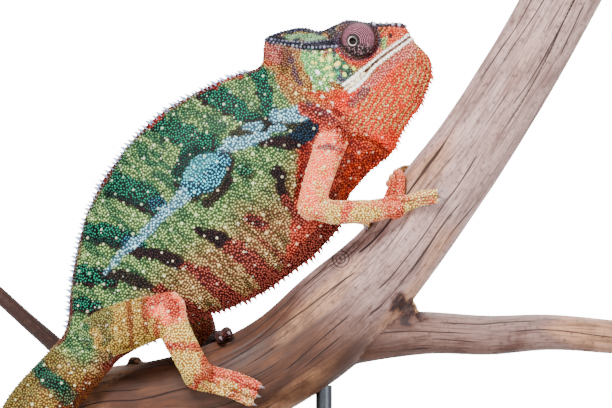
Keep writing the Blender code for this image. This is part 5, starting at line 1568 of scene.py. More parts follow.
# Rows of plates on the head: line in picture steps with a half width in mm, spacing, half length, height,
# colour, and how unlike its plates are
PLATE_ROWS = (
    (((344, 85, 0.7), (354, 78, 1.2), (362, 70.5, 0.9), (367, 66.8, 0.72), (373, 61.6, 0.66)), 1.9, 1.4, 0.3,
     (1.0, 0.99, 0.93), 0.04),
    (((375, 59.8, 0.62), (381, 55, 0.62), (395, 45, 0.62), (402, 40, 0.62), (411, 33.5, 0.6)), 1.45, 0.8, 0.45,
     (1.0, 0.99, 0.97), 0.08),
    (((350, 92, 0.8), (358, 85.5, 1.2), (366, 77.5, 0.95), (370, 72, 0.8), (376, 66, 0.76), (384, 59.5, 0.76),
      (397.5, 49.5, 0.74), (414, 37.5, 0.6)), 1.9, 1.4, 0.3, (1.0, 0.98, 0.94), 0.06),
    (((346, 89, 0.6), (355, 82.5, 1.1), (363, 75, 0.7)), 1.9, 1.4, 0.28, (0.98, 0.97, 0.80), 0.04),
    (((374, 24.5, 1.2), (390, 24.5, 1.35), (405, 26, 1.25)), 2.15, 0.9, 1.0, (0.86, 0.84, 0.93), 0.35),
    (((379, 29, 0.6), (392, 28.5, 0.7), (404, 30, 0.6)), 1.7, 0.75, 0.5, (0.90, 0.50, 0.36), 0.3),
    (((264, 38.5, 0.6), (285, 41.5, 0.6), (312, 43, 0.65), (328, 41, 0.6)), 1.5, 0.62, 0.5, (0.55, 0.56, 0.66), 0.7),
    (((266, 41, 0.6), (285, 45, 0.65), (312, 48, 0.7), (336, 47, 0.6)), 1.55, 0.68, 0.5, (0.62, 0.62, 0.70), 0.75),
    (((272, 45, 0.5), (290, 49, 0.55), (312, 52, 0.6), (332, 53, 0.5)), 1.45, 0.58, 0.4, (0.72, 0.60, 0.60), 0.7),
    (((266, 36, 0.55), (286, 33, 0.55), (304, 31, 0.5), (320, 33, 0.5)), 1.4, 0.6, 0.5, (0.40, 0.40, 0.52), 0.9),
    (((270, 33.5, 0.5), (286, 30.5, 0.5), (304, 28.5, 0.5), (320, 31, 0.5)), 1.4, 0.6, 0.5, (0.48, 0.48, 0.58), 0.9),
    (((328, 33, 0.5), (334, 27, 0.55), (344, 22, 0.5), (358, 19.5, 0.5), (372, 22.5, 0.5)), 1.4, 0.6, 0.5,
     (0.46, 0.42, 0.50), 0.8),
    (((326, 37, 0.5), (333, 32, 0.5), (339, 27, 0.5)), 1.4, 0.6, 0.45, (0.66, 0.66, 0.66), 0.8),
    (((334, 56, 0.5), (336, 44, 0.55), (340, 34, 0.5)), 1.4, 0.6, 0.45, (0.40, 0.40, 0.50), 0.7),
)
# Plates of their own: column, row, half length, half width, slant in degrees, height, colour
CHEEK_PLATES = (
    # The first plate is a near-black disc in the nostril: painted shade of its opening.
    (390.8, 36.2, 0.85, 0.6, -25, 0.1, (0.06, 0.03, 0.04)),
    (317.6, 73, 1.7, 1.05, -50, 0.6, (0.95, 0.94, 0.93)), (311.5, 79, 1.3, 0.5, -72, 0.45, (0.86, 0.86, 0.90)),
    (315, 53, 0.9, 0.9, 0, 0.4, (0.84, 0.90, 0.56)), (322, 53, 0.9, 0.9, 0, 0.4, (0.80, 0.90, 0.58)),
    (330, 51, 0.8, 0.8, 0, 0.4, (0.90, 0.90, 0.56)), (312.5, 63, 0.9, 0.9, 0, 0.4, (0.92, 0.88, 0.50)),
    (321, 59, 1.0, 1.0, 0, 0.4, (0.90, 0.90, 0.54)), (329.5, 60, 1.1, 1.1, 0, 0.4, (0.92, 0.90, 0.52)),
    (336.6, 65.5, 1.45, 1.35, 0, 0.42, (0.95, 0.88, 0.48)), (345, 67.3, 1.1, 1.0, 0, 0.4, (0.90, 0.88, 0.46)),
    (344, 74.6, 0.9, 0.9, 0, 0.4, (0.86, 0.86, 0.46)), (353, 68.5, 0.9, 0.85, 0, 0.4, (0.93, 0.82, 0.40)),
    (327.4, 68.5, 1.1, 1.0, 0, 0.4, (0.90, 0.88, 0.50)), (331, 75.8, 1.1, 1.0, 0, 0.42, (0.90, 0.88, 0.54)),
    (324, 80, 1.0, 1.0, 0, 0.42, (0.90, 0.88, 0.60)), (338, 83, 0.8, 0.8, 0, 0.4, (0.60, 0.78, 0.66)),
    (320.5, 84, 1.1, 0.8, -40, 0.5, (0.93, 0.92, 0.90)), (327, 90, 1.5, 0.55, -52, 0.45, (0.94, 0.93, 0.92)),
    (314, 92, 1.0, 0.45, -30, 0.4, (0.93, 0.88, 0.84)), (323, 97, 1.2, 0.45, -38, 0.4, (0.93, 0.90, 0.86)),
    (332, 103, 1.0, 0.45, -30, 0.4, (0.92, 0.88, 0.84)), (331, 81, 0.75, 0.75, 0, 0.45, (0.92, 0.93, 0.88)),
    (338, 64, 1.4, 1.35, 0, 0.5, (0.92, 0.86, 0.50)), (346, 68, 1.15, 1.1, 0, 0.5, (0.72, 0.88, 0.56)),
    (344.5, 76, 1.1, 1.0, 0, 0.5, (0.80, 0.86, 0.50)), (322, 61, 1.1, 1.1, 0, 0.4, (0.90, 0.88, 0.52)),
    (329, 58, 0.9, 0.9, 0, 0.4, (0.86, 0.88, 0.55)), (330, 68, 1.0, 0.95, 0, 0.4, (0.80, 0.86, 0.52)),
    (324, 70, 0.8, 0.8, 0, 0.4, (0.84, 0.86, 0.50)), (337, 56, 0.8, 0.75, 0, 0.4, (0.72, 0.84, 0.56)),
    (354, 70, 0.9, 0.9, 0, 0.4, (0.70, 0.84, 0.42)), (338, 74, 0.85, 0.85, 0, 0.4, (0.30, 0.70, 0.52)),
    (333, 75, 0.7, 0.7, 0, 0.4, (0.84, 0.84, 0.50)), (316, 64, 0.8, 0.8, 0, 0.4, (0.86, 0.80, 0.48)),
    (296, 94, 0.8, 0.8, 0, 0.4, (0.92, 0.88, 0.66)), (305, 90, 0.7, 0.7, 0, 0.4, (0.92, 0.88, 0.72)),
    (318, 106, 1.0, 0.5, -20, 0.4, (0.92, 0.90, 0.88)), (329, 112, 1.1, 0.55, -20, 0.4, (0.92, 0.90, 0.90)),
)


def head_plates():
    plates = Scales()
    dice = np.random.default_rng(7)
    for side in (NEAR, FAR):
        for line, spacing, half_length, height, colour, unlike in PLATE_ROWS:
            fine, ways = along_line(line, spacing)
            places, normals = on_skin(fine[:, 0], fine[:, 1], side)
            for place, normal, way, half_width in zip(places, normals, ways, fine[:, 2]):
                size = 1 + 0.35 * unlike * dice.uniform(-1, 1)
                # Painted shade at each plate's foot: plain plates keep a pale foot, the others a dark one.
                plates.add(place, normal, way, (half_length * size, half_width * size, height),
                           display(colour) * (1 - unlike * dice.random()), 0.8 if unlike < 0.1 else FOOT_PAINTED_SHADE)
        columns, rows = np.transpose([plate[:2] for plate in CHEEK_PLATES])
        places, normals = on_skin(columns, rows, side)
        for place, normal, plate in zip(places, normals, CHEEK_PLATES):
            slant = math.radians(plate[4])
            plates.add(place, normal, (math.cos(slant), 0.0, math.sin(slant)), (plate[2], plate[3], plate[5]),
                       display(plate[6]))
    plates.build("head_plates", "plate", "head_skin", seed=2, variety=0.06)


TUBERCLE_GAP = 5.4
TUBERCLE_TRIES = 16000


def tubercles():
    """Round pale scales spread over the trunk, legs and neck."""
    dice = np.random.default_rng(12)
    order = dice.permutation(len(skin_points))[:TUBERCLE_TRIES]
    allowed = (at.s > body.nape - 22) & (at.s < body.vent + 70) & (at.from_back() > 3) & (at.from_belly() > 3)
    allowed &= (at.down < 1.9) & ~((at.s < body.nape) & (at.level < 0.3))
    chosen, kept = [], np.empty((0, 3))
    for index in order[allowed[order]]:
        place = skin_points[index]
        if len(kept) == 0 or np.min(np.sum((kept - place) ** 2, axis=1)) > TUBERCLE_GAP ** 2:
            kept = np.vstack([kept, place])
            chosen.append(index)
    normals = point_normals(skin_points, skin_faces)[chosen]
    white = dice.uniform(0.1, 0.75, (len(chosen), 1))
    colours = scale_ink[chosen] + white * (display((0.92, 0.92, 0.80)) - scale_ink[chosen])
    size = dice.uniform(0.55, 0.85, (len(chosen), 1)) * (1.25 - 0.5 * white)
    place_scales("tubercles", "plate", kept, normals, np.tile((0.0, 0.0, 1.0), (len(chosen), 1)),
                 np.hstack([size, size, size * 0.8]), "body_skin", colours=colours, seed=3, variety=0.05)


head_plates()
tubercles()

# %% [markdown]
# A panther chameleon carries a comb of small cones along its back and finer ones under its belly and throat.
# They stand out from the outline, lean backwards, and vary in height. On the tail they fade out.

# %% Crest spines
# name, first and last section, on the belly side, spacing, height, half width, colour, share of that colour
CRESTS = (
    ("back", 76.0, 218.0, False, 2.1, 2.5, 1.0, (0.74, 0.82, 0.95), 0.95),
    ("tail", 220.0, 330.0, False, 1.9, 1.0, 0.5, (0.50, 0.24, 0.20), 0.6),
    ("belly", 92.0, 205.0, True, 2.4, 2.5, 0.95, (0.60, 0.20, 0.17), 0.75),
    ("throat", 9.0, 60.0, True, 1.7, 2.1, 0.72, (0.95, 0.45, 0.32), 0.6),
    ("chest", 60.0, 92.0, True, 1.8, 1.2, 0.5, (0.70, 0.22, 0.15), 0.6),
)


def crest_spines():
    spines = Scales()
    dice = np.random.default_rng(9)
    for name, start, end, belly, spacing, height, half_width, colour, share in CRESTS:
        line, middle = body.edge(start, end, belly, int((end - start) / 0.4))
        lengths = lengths_along(line)
        paint = (display(colour) * share, 1 - share)
        for length in np.arange(spacing / 2, lengths[-1], spacing):
            place = length + dice.uniform(-0.25, 0.25) * spacing
            index = min(np.searchsorted(lengths, place), len(line) - 2)
            out = line[index] - middle[index]
            out = out / np.linalg.norm(out)
            along = line[max(index - 1, 0)] - line[index + 1]
            root = np.array(SKIN_TREE.find_nearest(Vector(line[index].tolist()))[0]) - out * 0.15
            out = out + np.array((0.0, dice.uniform(-0.12, 0.12), 0.0))
            size = dice.uniform(0.72, 1.15)
            # Spines keep a lighter painted shade at their foot.
            spines.add(root, out, along, (half_width * size, half_width * 0.8 * size, height * size), paint, 0.85)
            for side in (NEAR, FAR) if name in ("throat", "back") else ():
                beside = root - out * 1.1 + np.array((0.0, side * 0.9, 0.0))
                hit, normal = SKIN_TREE.find_nearest(Vector(beside.tolist()))[:2]
                spines.add(np.array(hit), np.array(normal) + out, along,
                           (0.42 * size, 0.42 * size, height * 0.5 * size), paint)
    own = colours_at(Places(np.array([row[0] for row in spines.rows])))[0]
    spines.rows = [(*row[:4], row[4][0] + row[4][1] * base, row[5]) for row, base in zip(spines.rows, own)]
    spines.build("crest_spines", "spine", "body_skin", seed=4, variety=0.1)


crest_spines()

# %% [markdown]
# The eye is almost wholly covered by one cone of lids, the turret, which turns with it. Its skin is set with fine
# granules in rings round a small opening. The eyeball inside shows only its pupil and a thin iris.

# %% Eye turrets and eyeballs
TURRET_RADIUS = 7.75
EYE_CENTRE = (26.7, 232.2)
EYE_DEPTH = 9.6
EYE_TURN_BACK = 20.0
EYE_TURN_DOWN = 7.0
EYEBALL_RADIUS = 2.8
EYEBALL_SINK = 3.2
RING_SPACING = 0.42
GRAIN_WIDTH = 0.52
TURRET_RINGS = ((0.24, 0.07, 0.13), (0.85, 0.58, 0.66))
# Profile of the turret's lids: reach from the eye's axis and height against the turret's top
TURRET_PROFILE = ((0.8, -2.9), (1.5, -1.9), (1.5, -0.9), (1.6, -0.48), (1.82, -0.27), (2.15, -0.25), (2.5, -0.5),
                  (2.75, -0.86))
LID_SHADE = np.array((0.9, 0.0, 0.43))  # painted shade: the lid's pale ring is darkened on its front and upper part


def eye_frame(side):
    """The turret's centre, the eye's axis and two directions across it."""
    turn = math.radians(EYE_TURN_BACK)
    centre = np.array((EYE_CENTRE[0], side * EYE_DEPTH, EYE_CENTRE[1]))
    down = math.radians(EYE_TURN_DOWN)
    axis = np.array((-math.sin(turn) * math.cos(down), side * math.cos(turn) * math.cos(down), -math.sin(down)))
    across = np.cross((0.0, 0.0, 1.0), axis)
    across /= np.linalg.norm(across)
    return centre, axis, across, np.cross(axis, across)


def turned(frame_of_eye, reach, height, around=48):
    """A ring of points at a reach from the axis and a height along it."""
    centre, axis, across, up = frame_of_eye
    angles = np.linspace(0, 2 * math.pi, around, endpoint=False)
    return (centre + axis * height + reach * (np.cos(angles)[:, None] * across + np.sin(angles)[:, None] * up))


def turret_ink(place, centre, row, dice):
    """Colour of one turret granule by its height on the turret, darkened near the rim by a painted shadow."""
    height = (place[2] - centre[2]) / TURRET_RADIUS
    low = float(smoothly(-height + dice.uniform(-0.12, 0.12), 0.14, 0.44))
    colour = display(TURRET_RINGS[row % 2]) * dice.uniform(0.7, 1.15)
    dark = display((0.13, 0.06, 0.11)) * dice.uniform(0.5, 1.5)
    if dice.random() < 0.2:
        dark = display((0.92, 0.74, 0.76)) * dice.uniform(0.6, 1.0)
    colour = colour + low * (dark - colour)
    away = np.hypot(place[0] - centre[0], place[2] - centre[2]) / TURRET_RADIUS
    # Painted shadow: a dark ring over the granules near the turret's rim.
    rim = float(smoothly(away, 0.83, 0.92)) * 0.9
    return colour + rim * (display((0.20, 0.10, 0.15)) - colour)


def make_turret(side, name):
    eye = eye_frame(side)
    centre, axis, across, up = eye
    skin_radius = TURRET_RADIUS - SKIN_DEPTH
    rings = [turned(eye, reach, TURRET_RADIUS + height) for reach, height in TURRET_PROFILE]
    rings += [turned(eye, skin_radius * math.sin(theta), skin_radius * math.cos(theta))
              for theta in np.linspace(0.40, 2.3, 26)]
    points, faces = loft(rings)
    mesh = mesh_from(f"turret_{name}", points, faces)
    face_outwards(mesh)
    store_colours(mesh, np.tile(display((0.17, 0.09, 0.12)), (len(points), 1)))
    store_values(mesh, np.full(len(points), 0.5))
    finished_piece(new_object(f"turret_{name}", mesh), [f"eye_turret_{name}"], FINISHES["turret_skin"])
    dice = np.random.default_rng(31)
    grains, flat = Scales(), []
    for reach, height, size in ((1.92, TURRET_RADIUS - 0.28, 0.34), (2.5, TURRET_RADIUS - 0.5, 0.36)):
        count = int(2 * math.pi * reach / (size * 1.9))
        for turn in np.arange(count) / count * 2 * math.pi:
            out = math.cos(turn) * across + math.sin(turn) * up
            tone = display((0.97, 0.93, 0.92)) if reach < 2 else display((0.30, 0.18, 0.22))
            # Painted shade on the lid's front and upper part.
            tone = tone * np.interp(out @ LID_SHADE, (0.0, 0.6), (1.0, 0.2))
            grains.add(centre + axis * height + out * reach, axis + out * 0.5, out, (size, size, size * 1.1), tone)
            flat.append((turn / (2 * math.pi), 0.02 + 0.02 * (reach > 2)))
    for row, theta in enumerate(np.arange(0.415, 1.9, RING_SPACING / skin_radius)):
        reach = skin_radius * math.sin(theta)
        count = int(2 * math.pi * reach / GRAIN_WIDTH)
        shift = dice.random()
        for turn in (np.arange(count) + shift) / count * 2 * math.pi:
            out = math.cos(turn) * across + math.sin(turn) * up
            way = axis * math.cos(theta) + out * math.sin(theta)
            place = centre + way * skin_radius
            size = dice.uniform(0.23, 0.28)
            grains.add(place, way, np.cross(way, axis), (size, size * 0.9, size), turret_ink(place, centre, row, dice))
            flat.append((turn / (2 * math.pi) % 1.0, theta / 2))
    grains.build(f"turret_scales_{name}", "granule", "turret_skin", flat=np.array(flat), seed=5, variety=0.08)


def eye_material():
    """Wet and glossy, with a black pupil and a thin iris of fine rays."""
    material, tree, shader = new_material("eye_wet")
    shade = grey(tree, ranged(tree, fine_noise(tree, 3500.0), 0.3, 0.7, 0.6, 1.3))
    feed(tree, shader, {"Base Color": mix_colour(tree, 1.0, attribute(tree, "marking", "Color"), shade, "MULTIPLY"),
                        "Roughness": 0.03, "Specular IOR Level": 0.22})
    return material


EYE_FINISH = eye_material()
# Colours of the eyeball by the reach from its axis in millimetres
EYE_RINGS = ((0.0, (0.01, 0.01, 0.01)), (1.2, (0.01, 0.01, 0.01)), (1.3, (0.36, 0.18, 0.10)),
             (1.45, (0.24, 0.10, 0.06)), (1.6, (0.08, 0.04, 0.04)), (2.8, (0.08, 0.04, 0.04)))


def make_eyeball(side, name):
    centre, axis, across, up = eye_frame(side)
    middle = centre + axis * (TURRET_RADIUS - EYEBALL_SINK)
    points, faces = loft([turned((middle, axis, across, up), EYEBALL_RADIUS * math.sin(theta),
                                 EYEBALL_RADIUS * math.cos(theta), 40)
                          for theta in np.concatenate([np.linspace(0.03, 0.6, 18), np.linspace(0.7, 3.05, 16)])])
    mesh = mesh_from(f"eyeball_{name}_wet", points, faces)
    face_outwards(mesh)
    away = points - middle
    reach = np.linalg.norm(away - (away @ axis)[:, None] * axis, axis=1)
    reach = np.where(away @ axis > 0, reach, EYEBALL_RADIUS)
    stops, colours = zip(*EYE_RINGS)
    store_colours(mesh, np.stack([np.interp(reach, stops, band) for band in display(colours).T], axis=1))
    finished_piece(new_object(f"eyeball_{name}_wet", mesh), [f"eyeball_{name}"], EYE_FINISH)


for side, name in ((NEAR, "right"), (FAR, "left")):
    make_turret(side, name)
    make_eyeball(side, name)

# %% [markdown]
# Claws are horn: translucent, pale at the base and darker at the tip. Each is a small curved cone that comes out
# of the last toe scales and bends down towards the wood.

# %% Claws
CLAW_LENGTH = 2.7
CLAW_RADIUS = 0.75
CLAW_DROP = 0.9           # how far the tip bends towards the branch


def claw_material():
    material, tree, shader = new_material("claw_horn")
    streaks = math_node(tree, "SUBTRACT", fine_noise(tree, 1800.0), 0.5)
    where = math_node(tree, "ADD", attribute(tree, "rise"), math_node(tree, "MULTIPLY", streaks, 0.3))
    colour = mix_colour(tree, where, ink((0.74, 0.68, 0.68)), ink((0.46, 0.42, 0.46)))
    feed(tree, shader, {"Base Color": colour, "Roughness": 0.3})
    return material


def make_claws():
    shells, values = [], []
    for route in [route for routes in TOES.values() for route in routes]:
        end, before = np.array(route[-1][:3]), np.array(route[-2][:3])
        way = (end - before) / np.linalg.norm(end - before)
        away = end - nearest_on_route(BRANCH_ROUTE, end[0], end[2])[:3]
        away -= way * (away @ way)
        away /= np.linalg.norm(away)
        start = end + way * route[-1][3] * 0.4 + away * 0.35
        horn = [(*(start + way * CLAW_LENGTH * share + away * (0.5 * share - CLAW_DROP * share ** 2 * 1.6)),
                 CLAW_RADIUS * (1 - share) ** 0.7 + 0.06) for share in np.linspace(0, 1, 7)]
        rings = tube_rings(horn, 10, 10, round_end=False)
        shells.append(rings)
        values += [*np.repeat(np.linspace(0, 1, len(rings)), rings.shape[1]), 0.0, 1.0]
    mesh = mesh_from("claws", *lofted(shells))
    face_outwards(mesh)
    store_values(mesh, values)
    finished_piece(new_object("claws", mesh), (), claw_material())
    return len(shells)


print("claws:", make_claws())

# %% [markdown]
# The perch is a forked, bleached branch without bark. Its grain runs along each limb, opens in long drying cracks
# and turns round a knot. The limbs are joined into one surface, and each point keeps its place along
# and across its own limb, so that the grain follows every bend. All hollows go inwards, away from the toes.

# %% The branch
BRANCH_VOXEL = 0.84
WHORL_SPOT = (340.0, 258.0)
WHORL_REACH = 12.0
FAR_FROM_WHORL = 30.0     # added on the far side, where the grain has no whorl
# Column, row and reach of the dark collar's spots at the fork
COLLAR_SPOTS = ((399.0, 303.0, 9.0), (408.0, 309.0, 10.0), (405.0, 321.0, 7.0), (420.0, 314.0, 7.0))
CRACK_COUNT = 34
LIMB_SAMPLES = 170
SAWN_FACING = 0.8         # how straight a face has to look along its limb to be a sawn end
LIMB_APART = 400          # millimetres added to each further limb's lengths, so that they never meet
CHECK_SPACING = 0.0045    # metres between the lanes in which thin drying checks open


def limb_places(points):
    """For each point its length along the limb, two places across it, the limb's radius, and the limb's way."""
    samples = []
    for index, route in enumerate((BRANCH_ROUTE, SIDE_BRANCH_ROUTE, TWIG_ROUTE)):
        lengths = np.linspace(0, lengths_along(np.asarray(route)[:, :3])[-1], LIMB_SAMPLES) + LIMB_APART * index
        samples.append(np.column_stack([route_samples(route, LIMB_SAMPLES), lengths]))
    row, reach, _ = nearest_samples(points, np.concatenate(samples))
    ahead, beside, up = [(reach * row[:, start:start + 3]).sum(axis=1) for start in (4, 7, 10)]
    return np.column_stack([row[:, 13] + ahead, beside, up, row[:, 3]]), row[:, 4:7]


def crack_depth(places):
    """How deep long cracks cut in at each place, from 0 to 1."""
    dice = np.random.default_rng(17)
    angle = np.arctan2(places[:, 2], places[:, 1])
    depth = np.zeros(len(places))
    for _ in range(CRACK_COUNT):
        middle, turn, half = dice.uniform(0, 300), dice.uniform(-math.pi, math.pi), dice.uniform(24, 80)
        drift = dice.uniform(-0.003, 0.003)
        wave = 0.05 * np.sin(places[:, 0] / dice.uniform(9, 20))
        aside = (angle - turn - drift * (places[:, 0] - middle) - wave + math.pi) % (2 * math.pi) - math.pi
        along_crack = 1 - smoothly(np.abs(places[:, 0] - middle), half * 0.6, half)
        depth = np.maximum(depth, bump(aside * places[:, 3], 0.55) * along_crack * dice.uniform(0.5, 1.0))
    return depth


def make_branch():
    routes = [tube_rings(route, count, 40, round_start=False, round_end=False)
              for route, count in ((BRANCH_ROUTE, 60), (SIDE_BRANCH_ROUTE, 34), (TWIG_ROUTE, 16))]
    routes += [tube_rings(((x - 0.5, y, z, radius), (x + 0.5, y, z, radius)), 3, 20) for x, y, z, radius in KNOTS]
    points, faces = joined_surface(routes, BRANCH_VOXEL)
    points = smoothed(points, faces, 3)
    normals = point_normals(points, faces)
    places = limb_places(points)[0]
    columns, rows = in_steps(points)
    depth = crack_depth(places)
    sideways = np.column_stack([places[:, 0] / 14, places[:, 1], places[:, 2]])
    inwards = 0.28 + 0.28 * layered_noise(sideways, 5.0, 61) + 0.10 * noise(sideways, 1.3, 62) + 0.55 * depth
    whorl = spot_distance(columns, rows, WHORL_SPOT) * STEP + np.where(points[:, 1] > 0, FAR_FROM_WHORL, 0.0)
    inwards += 0.35 * bump(whorl - 3.0, 1.2) - 0.25 * bump(whorl, 1.8)
    ragged = 6.0 * layered_noise(points, 3.0, 63)
    collar = np.max([1 - smoothly(spot_distance(columns, rows, spot) + ragged, spot[2] * 0.5, spot[2] * 1.5)
                     for spot in COLLAR_SPOTS], axis=0)
    points = points - normals * np.maximum(inwards, 0.0)[:, None]
    bleached = smoothly(points[:, 0] + points[:, 2] + 14 * layered_noise(points, 22.0, 64), 92, 205)
    ways = limb_places(points)[1]
    limb = np.floor((places[:, 0] + 10) / LIMB_APART)
    mesh = mesh_from("branch", points, faces)
    for key, values in (("grain", places[:, :3] * MM), ("crack", depth), ("collar", collar),
                        ("whorl", np.minimum(whorl, WHORL_REACH)),
                        ("sawn", np.abs((normals * ways).sum(axis=1)) > SAWN_FACING),
                        ("bleached", np.where(limb == 1, 0.38 * bleached, bleached)),
                        ("dark", np.where(limb == 2, 0.95, 0.0))):
        store_values(mesh, values, key)
    finished_piece(new_object("branch", mesh), ["perch_stem", "perch_side_branch", "perch_twig"],
                   wood_material())
    return len(faces) * 2


def wood_material():
    """Bleached wood: stretched fibres, thin dark checks, brown patches and a dark collar at the fork."""
    material, tree, shader = new_material("bleached_branch")
    grain = attribute(tree, "grain", "Vector")
    crack, collar, whorl, sawn, bleached, dark = [
        attribute(tree, name) for name in ("crack", "collar", "whorl", "sawn", "bleached", "dark")]

    def stretched(length, width, detail=3.0, warp=0.0):
        """Noise drawn out along the limb: its length and width in metres."""
        scaled = node(tree, "ShaderNodeVectorMath", {0: grain, 1: (1 / length, 1 / width, 1 / width)},
                      operation="MULTIPLY").outputs[0]
        return node(tree, "ShaderNodeTexNoise", {"Vector": scaled, "Scale": 1.0, "Detail": detail,
                                                 "Distortion": warp}).outputs["Fac"]

    def product(first, second):
        return math_node(tree, "MULTIPLY", first, second)

    broad, fibre = stretched(0.022, 0.0065, 5.0, 0.4), stretched(0.011, 0.0006)
    drift, streaks = stretched(0.090, 0.020, 2.0), stretched(0.024, 0.0011, 2.0)
    blots, specks = fine_noise(tree, 60.0, 4.0), fine_noise(tree, 520.0)
    across = node(tree, "ShaderNodeSeparateXYZ", {0: grain}).outputs["Y"]
    lanes = math_node(tree, "ADD", product(across, 1 / CHECK_SPACING), product(drift, 3.0))
    line = math_node(tree, "ABSOLUTE", math_node(tree, "SUBTRACT", math_node(tree, "FRACT", lanes), 0.5))
    check = product(ranged(tree, line, 0.03, 0.085, 1.0, 0.0), ranged(tree, stretched(0.09, 0.004, 1.0), 0.52, 0.55))
    rings = product(ranged(tree, math_node(tree, "SINE", product(whorl, 4.0)), 0.2, 0.9),
                    ranged(tree, whorl, 3.8, 6.0, 1.0, 0.0))
    ragged = math_node(tree, "ADD", collar, math_node(tree, "SUBTRACT", specks, streaks))
    in_dark = ranged(tree, broad, 0.36, 0.66)
    colour = mix_colour(tree, bleached, mix_colour(tree, in_dark, ink((0.30, 0.19, 0.13)), ink((0.46, 0.31, 0.22))),
                        mix_colour(tree, in_dark, ink((0.68, 0.56, 0.54)), ink((0.80, 0.69, 0.67))))
    for share, tone in (
            (product(ranged(tree, stretched(0.06, 0.02, 1.0), 0.56, 0.66), 0.6), (0.80, 0.62, 0.48)),
            (product(ranged(tree, blots, 0.52, 0.68), ranged(tree, bleached, 0.0, 1.0, 0.75, 0.3)), (0.36, 0.23, 0.17)),
            (ranged(tree, fibre, 0.48, 0.66, 0.0, 0.55), (0.34, 0.24, 0.20)),
            (ranged(tree, streaks, 0.56, 0.66, 0.0, 0.4), (0.30, 0.20, 0.16)),
            (product(ranged(tree, streaks, 0.44, 0.36, 0.0, 0.3), bleached), (0.84, 0.76, 0.74)),
            (ranged(tree, specks, 0.60, 0.70, 0.0, 0.35), (0.26, 0.18, 0.15)),
            (dark, (0.24, 0.10, 0.05)), (product(check, 0.95), (0.16, 0.10, 0.09)),
            (ranged(tree, crack, 0.48, 0.74), (0.14, 0.09, 0.08)), (product(rings, 0.9), (0.26, 0.17, 0.13)),
            (ranged(tree, ragged, 0.0, 0.5, 0.0, 0.7), (0.40, 0.27, 0.22)),
            (ranged(tree, ragged, 0.55, 1.0, 0.0, 0.9), (0.20, 0.11, 0.13))):
        colour = mix_colour(tree, share, colour, ink(tone))
    ends = node(tree, "ShaderNodeTexWave", {"Vector": grain, "Scale": 260.0, "Distortion": 3.0, "Detail": 2.0},
                wave_type="RINGS", rings_direction="X").outputs["Fac"]
    colour = mix_colour(tree, sawn, colour, mix_colour(tree, ends, ink((0.80, 0.66, 0.50)), ink((0.62, 0.46, 0.33))))
    height = math_node(tree, "SUBTRACT", product(fibre, 0.6), check)
    relief = node(tree, "ShaderNodeBump", {"Strength": 0.7, "Distance": 0.0005, "Height": height})
    feed(tree, shader, {"Base Color": colour, "Roughness": ranged(tree, broad, 0.3, 0.7, 0.48, 0.66),
                        "Normal": relief.outputs[0], "Specular IOR Level": 0.3})
    return material


print("branch triangles:", make_branch())

# %% [markdown]
# The stand is a plain lacquered plate with two steel rods that reach up into the branch. Its edges are rounded
# over as a cutter leaves them, because a sharp edge on lacquer looks like a drawing, not a thing.

# %% Display stand
BASE_SIZE = (232.0, 120.0, 8.0)
BASE_CORNER = 14.0
BASE_EDGE = 1.6
ROD_RADIUS = 3.5
# The collar at a rod's foot: reach in rod radii, height above the plate
ROD_FOOT = ((1.9, 0.0), (1.9, 1.4), (1.75, 1.9), (1.08, 2.2), (1.0, 2.6))
HANDLED_INPUTS = (("Color", "Color", None), ("Speck Color", "Color", None), ("Least Roughness", "Float", 0.2),
                  ("Most Roughness", "Float", 0.4))


def handled_group():
    """Fine specks in the colour, and smears in the shine, as handling leaves them."""
    tree, given = new_tree("handled_surface", "ShaderNodeTree", HANDLED_INPUTS, SURFACE_OUTPUTS)
    specks = fine_noise(tree, 1400.0)
    rough = ranged(tree, fine_noise(tree, 26.0, 3.0), 0.3, 0.7, given["Least Roughness"], given["Most Roughness"])
    relief = node(tree, "ShaderNodeBump", {"Strength": 0.08, "Distance": 0.0002, "Height": specks})
    feed(tree, tree.nodes.new("NodeGroupOutput"), {
        0: mix_colour(tree, specks, given["Color"], given["Speck Color"]), 1: rough, 2: relief.outputs[0]})
    return tree


HANDLED = handled_group()


def stand_material(name, colour, roughness, metallic, coat):
    material, tree, shader = new_material(name)
    lighter = np.minimum(np.array(colour) * 1.35 + 0.01, 1)
    group = node(tree, "ShaderNodeGroup", {0: ink(colour), 1: ink(lighter), 2: roughness * 0.8, 3: roughness * 1.3},
                 node_tree=HANDLED)
    feed(tree, shader, {"Base Color": group.outputs[0], "Roughness": group.outputs[1],
                        "Normal": group.outputs[2], "Metallic": metallic, "Coat Weight": coat})
    return material


def rounded_outline(inset):
    """The plate's outline in from its edge by `inset`."""
    corner = BASE_CORNER - inset
    reach = np.array(BASE_SIZE[:2]) / 2 - inset - corner
    turns = np.concatenate([np.linspace(0, math.pi / 2, 12) + quarter * math.pi / 2 for quarter in range(4)])
    corners = np.repeat(((1, 1), (-1, 1), (-1, -1), (1, -1)), 12, axis=0)
    return corners * reach + corner * np.column_stack([np.cos(turns), np.sin(turns)])


def make_base():
    low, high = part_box("stand_base")
    middle = (np.array(low) + np.array(high)) / 2 / MM
    edge = [(BASE_EDGE * (1 - math.sin(turn)), BASE_EDGE * (1 - math.cos(turn)))
            for turn in np.linspace(0, math.pi / 2, 6)]
    edge += [(inset, BASE_SIZE[2] - height) for inset, height in reversed(edge)]
    points, faces = loft([np.column_stack([rounded_outline(inset) + middle[:2], np.full(48, height)])
                          for inset, height in edge])
    mesh = mesh_from("stand_plate", points, faces)
    mesh.set_sharp_from_angle(angle=math.radians(50))
    finished_piece(new_object("stand_plate", mesh), ["stand_base"],
                   stand_material("black_lacquer", (0.07, 0.07, 0.075), 0.3, 0.0, 0.5))


def disc(reach, height, around, middle=(0.0, 0.0)):
    """A level ring of points."""
    angles = np.linspace(0, 2 * math.pi, around, endpoint=False)
    return np.column_stack([middle[0] + reach * np.cos(angles), middle[1] + reach * np.sin(angles),
                            np.full(around, height)])


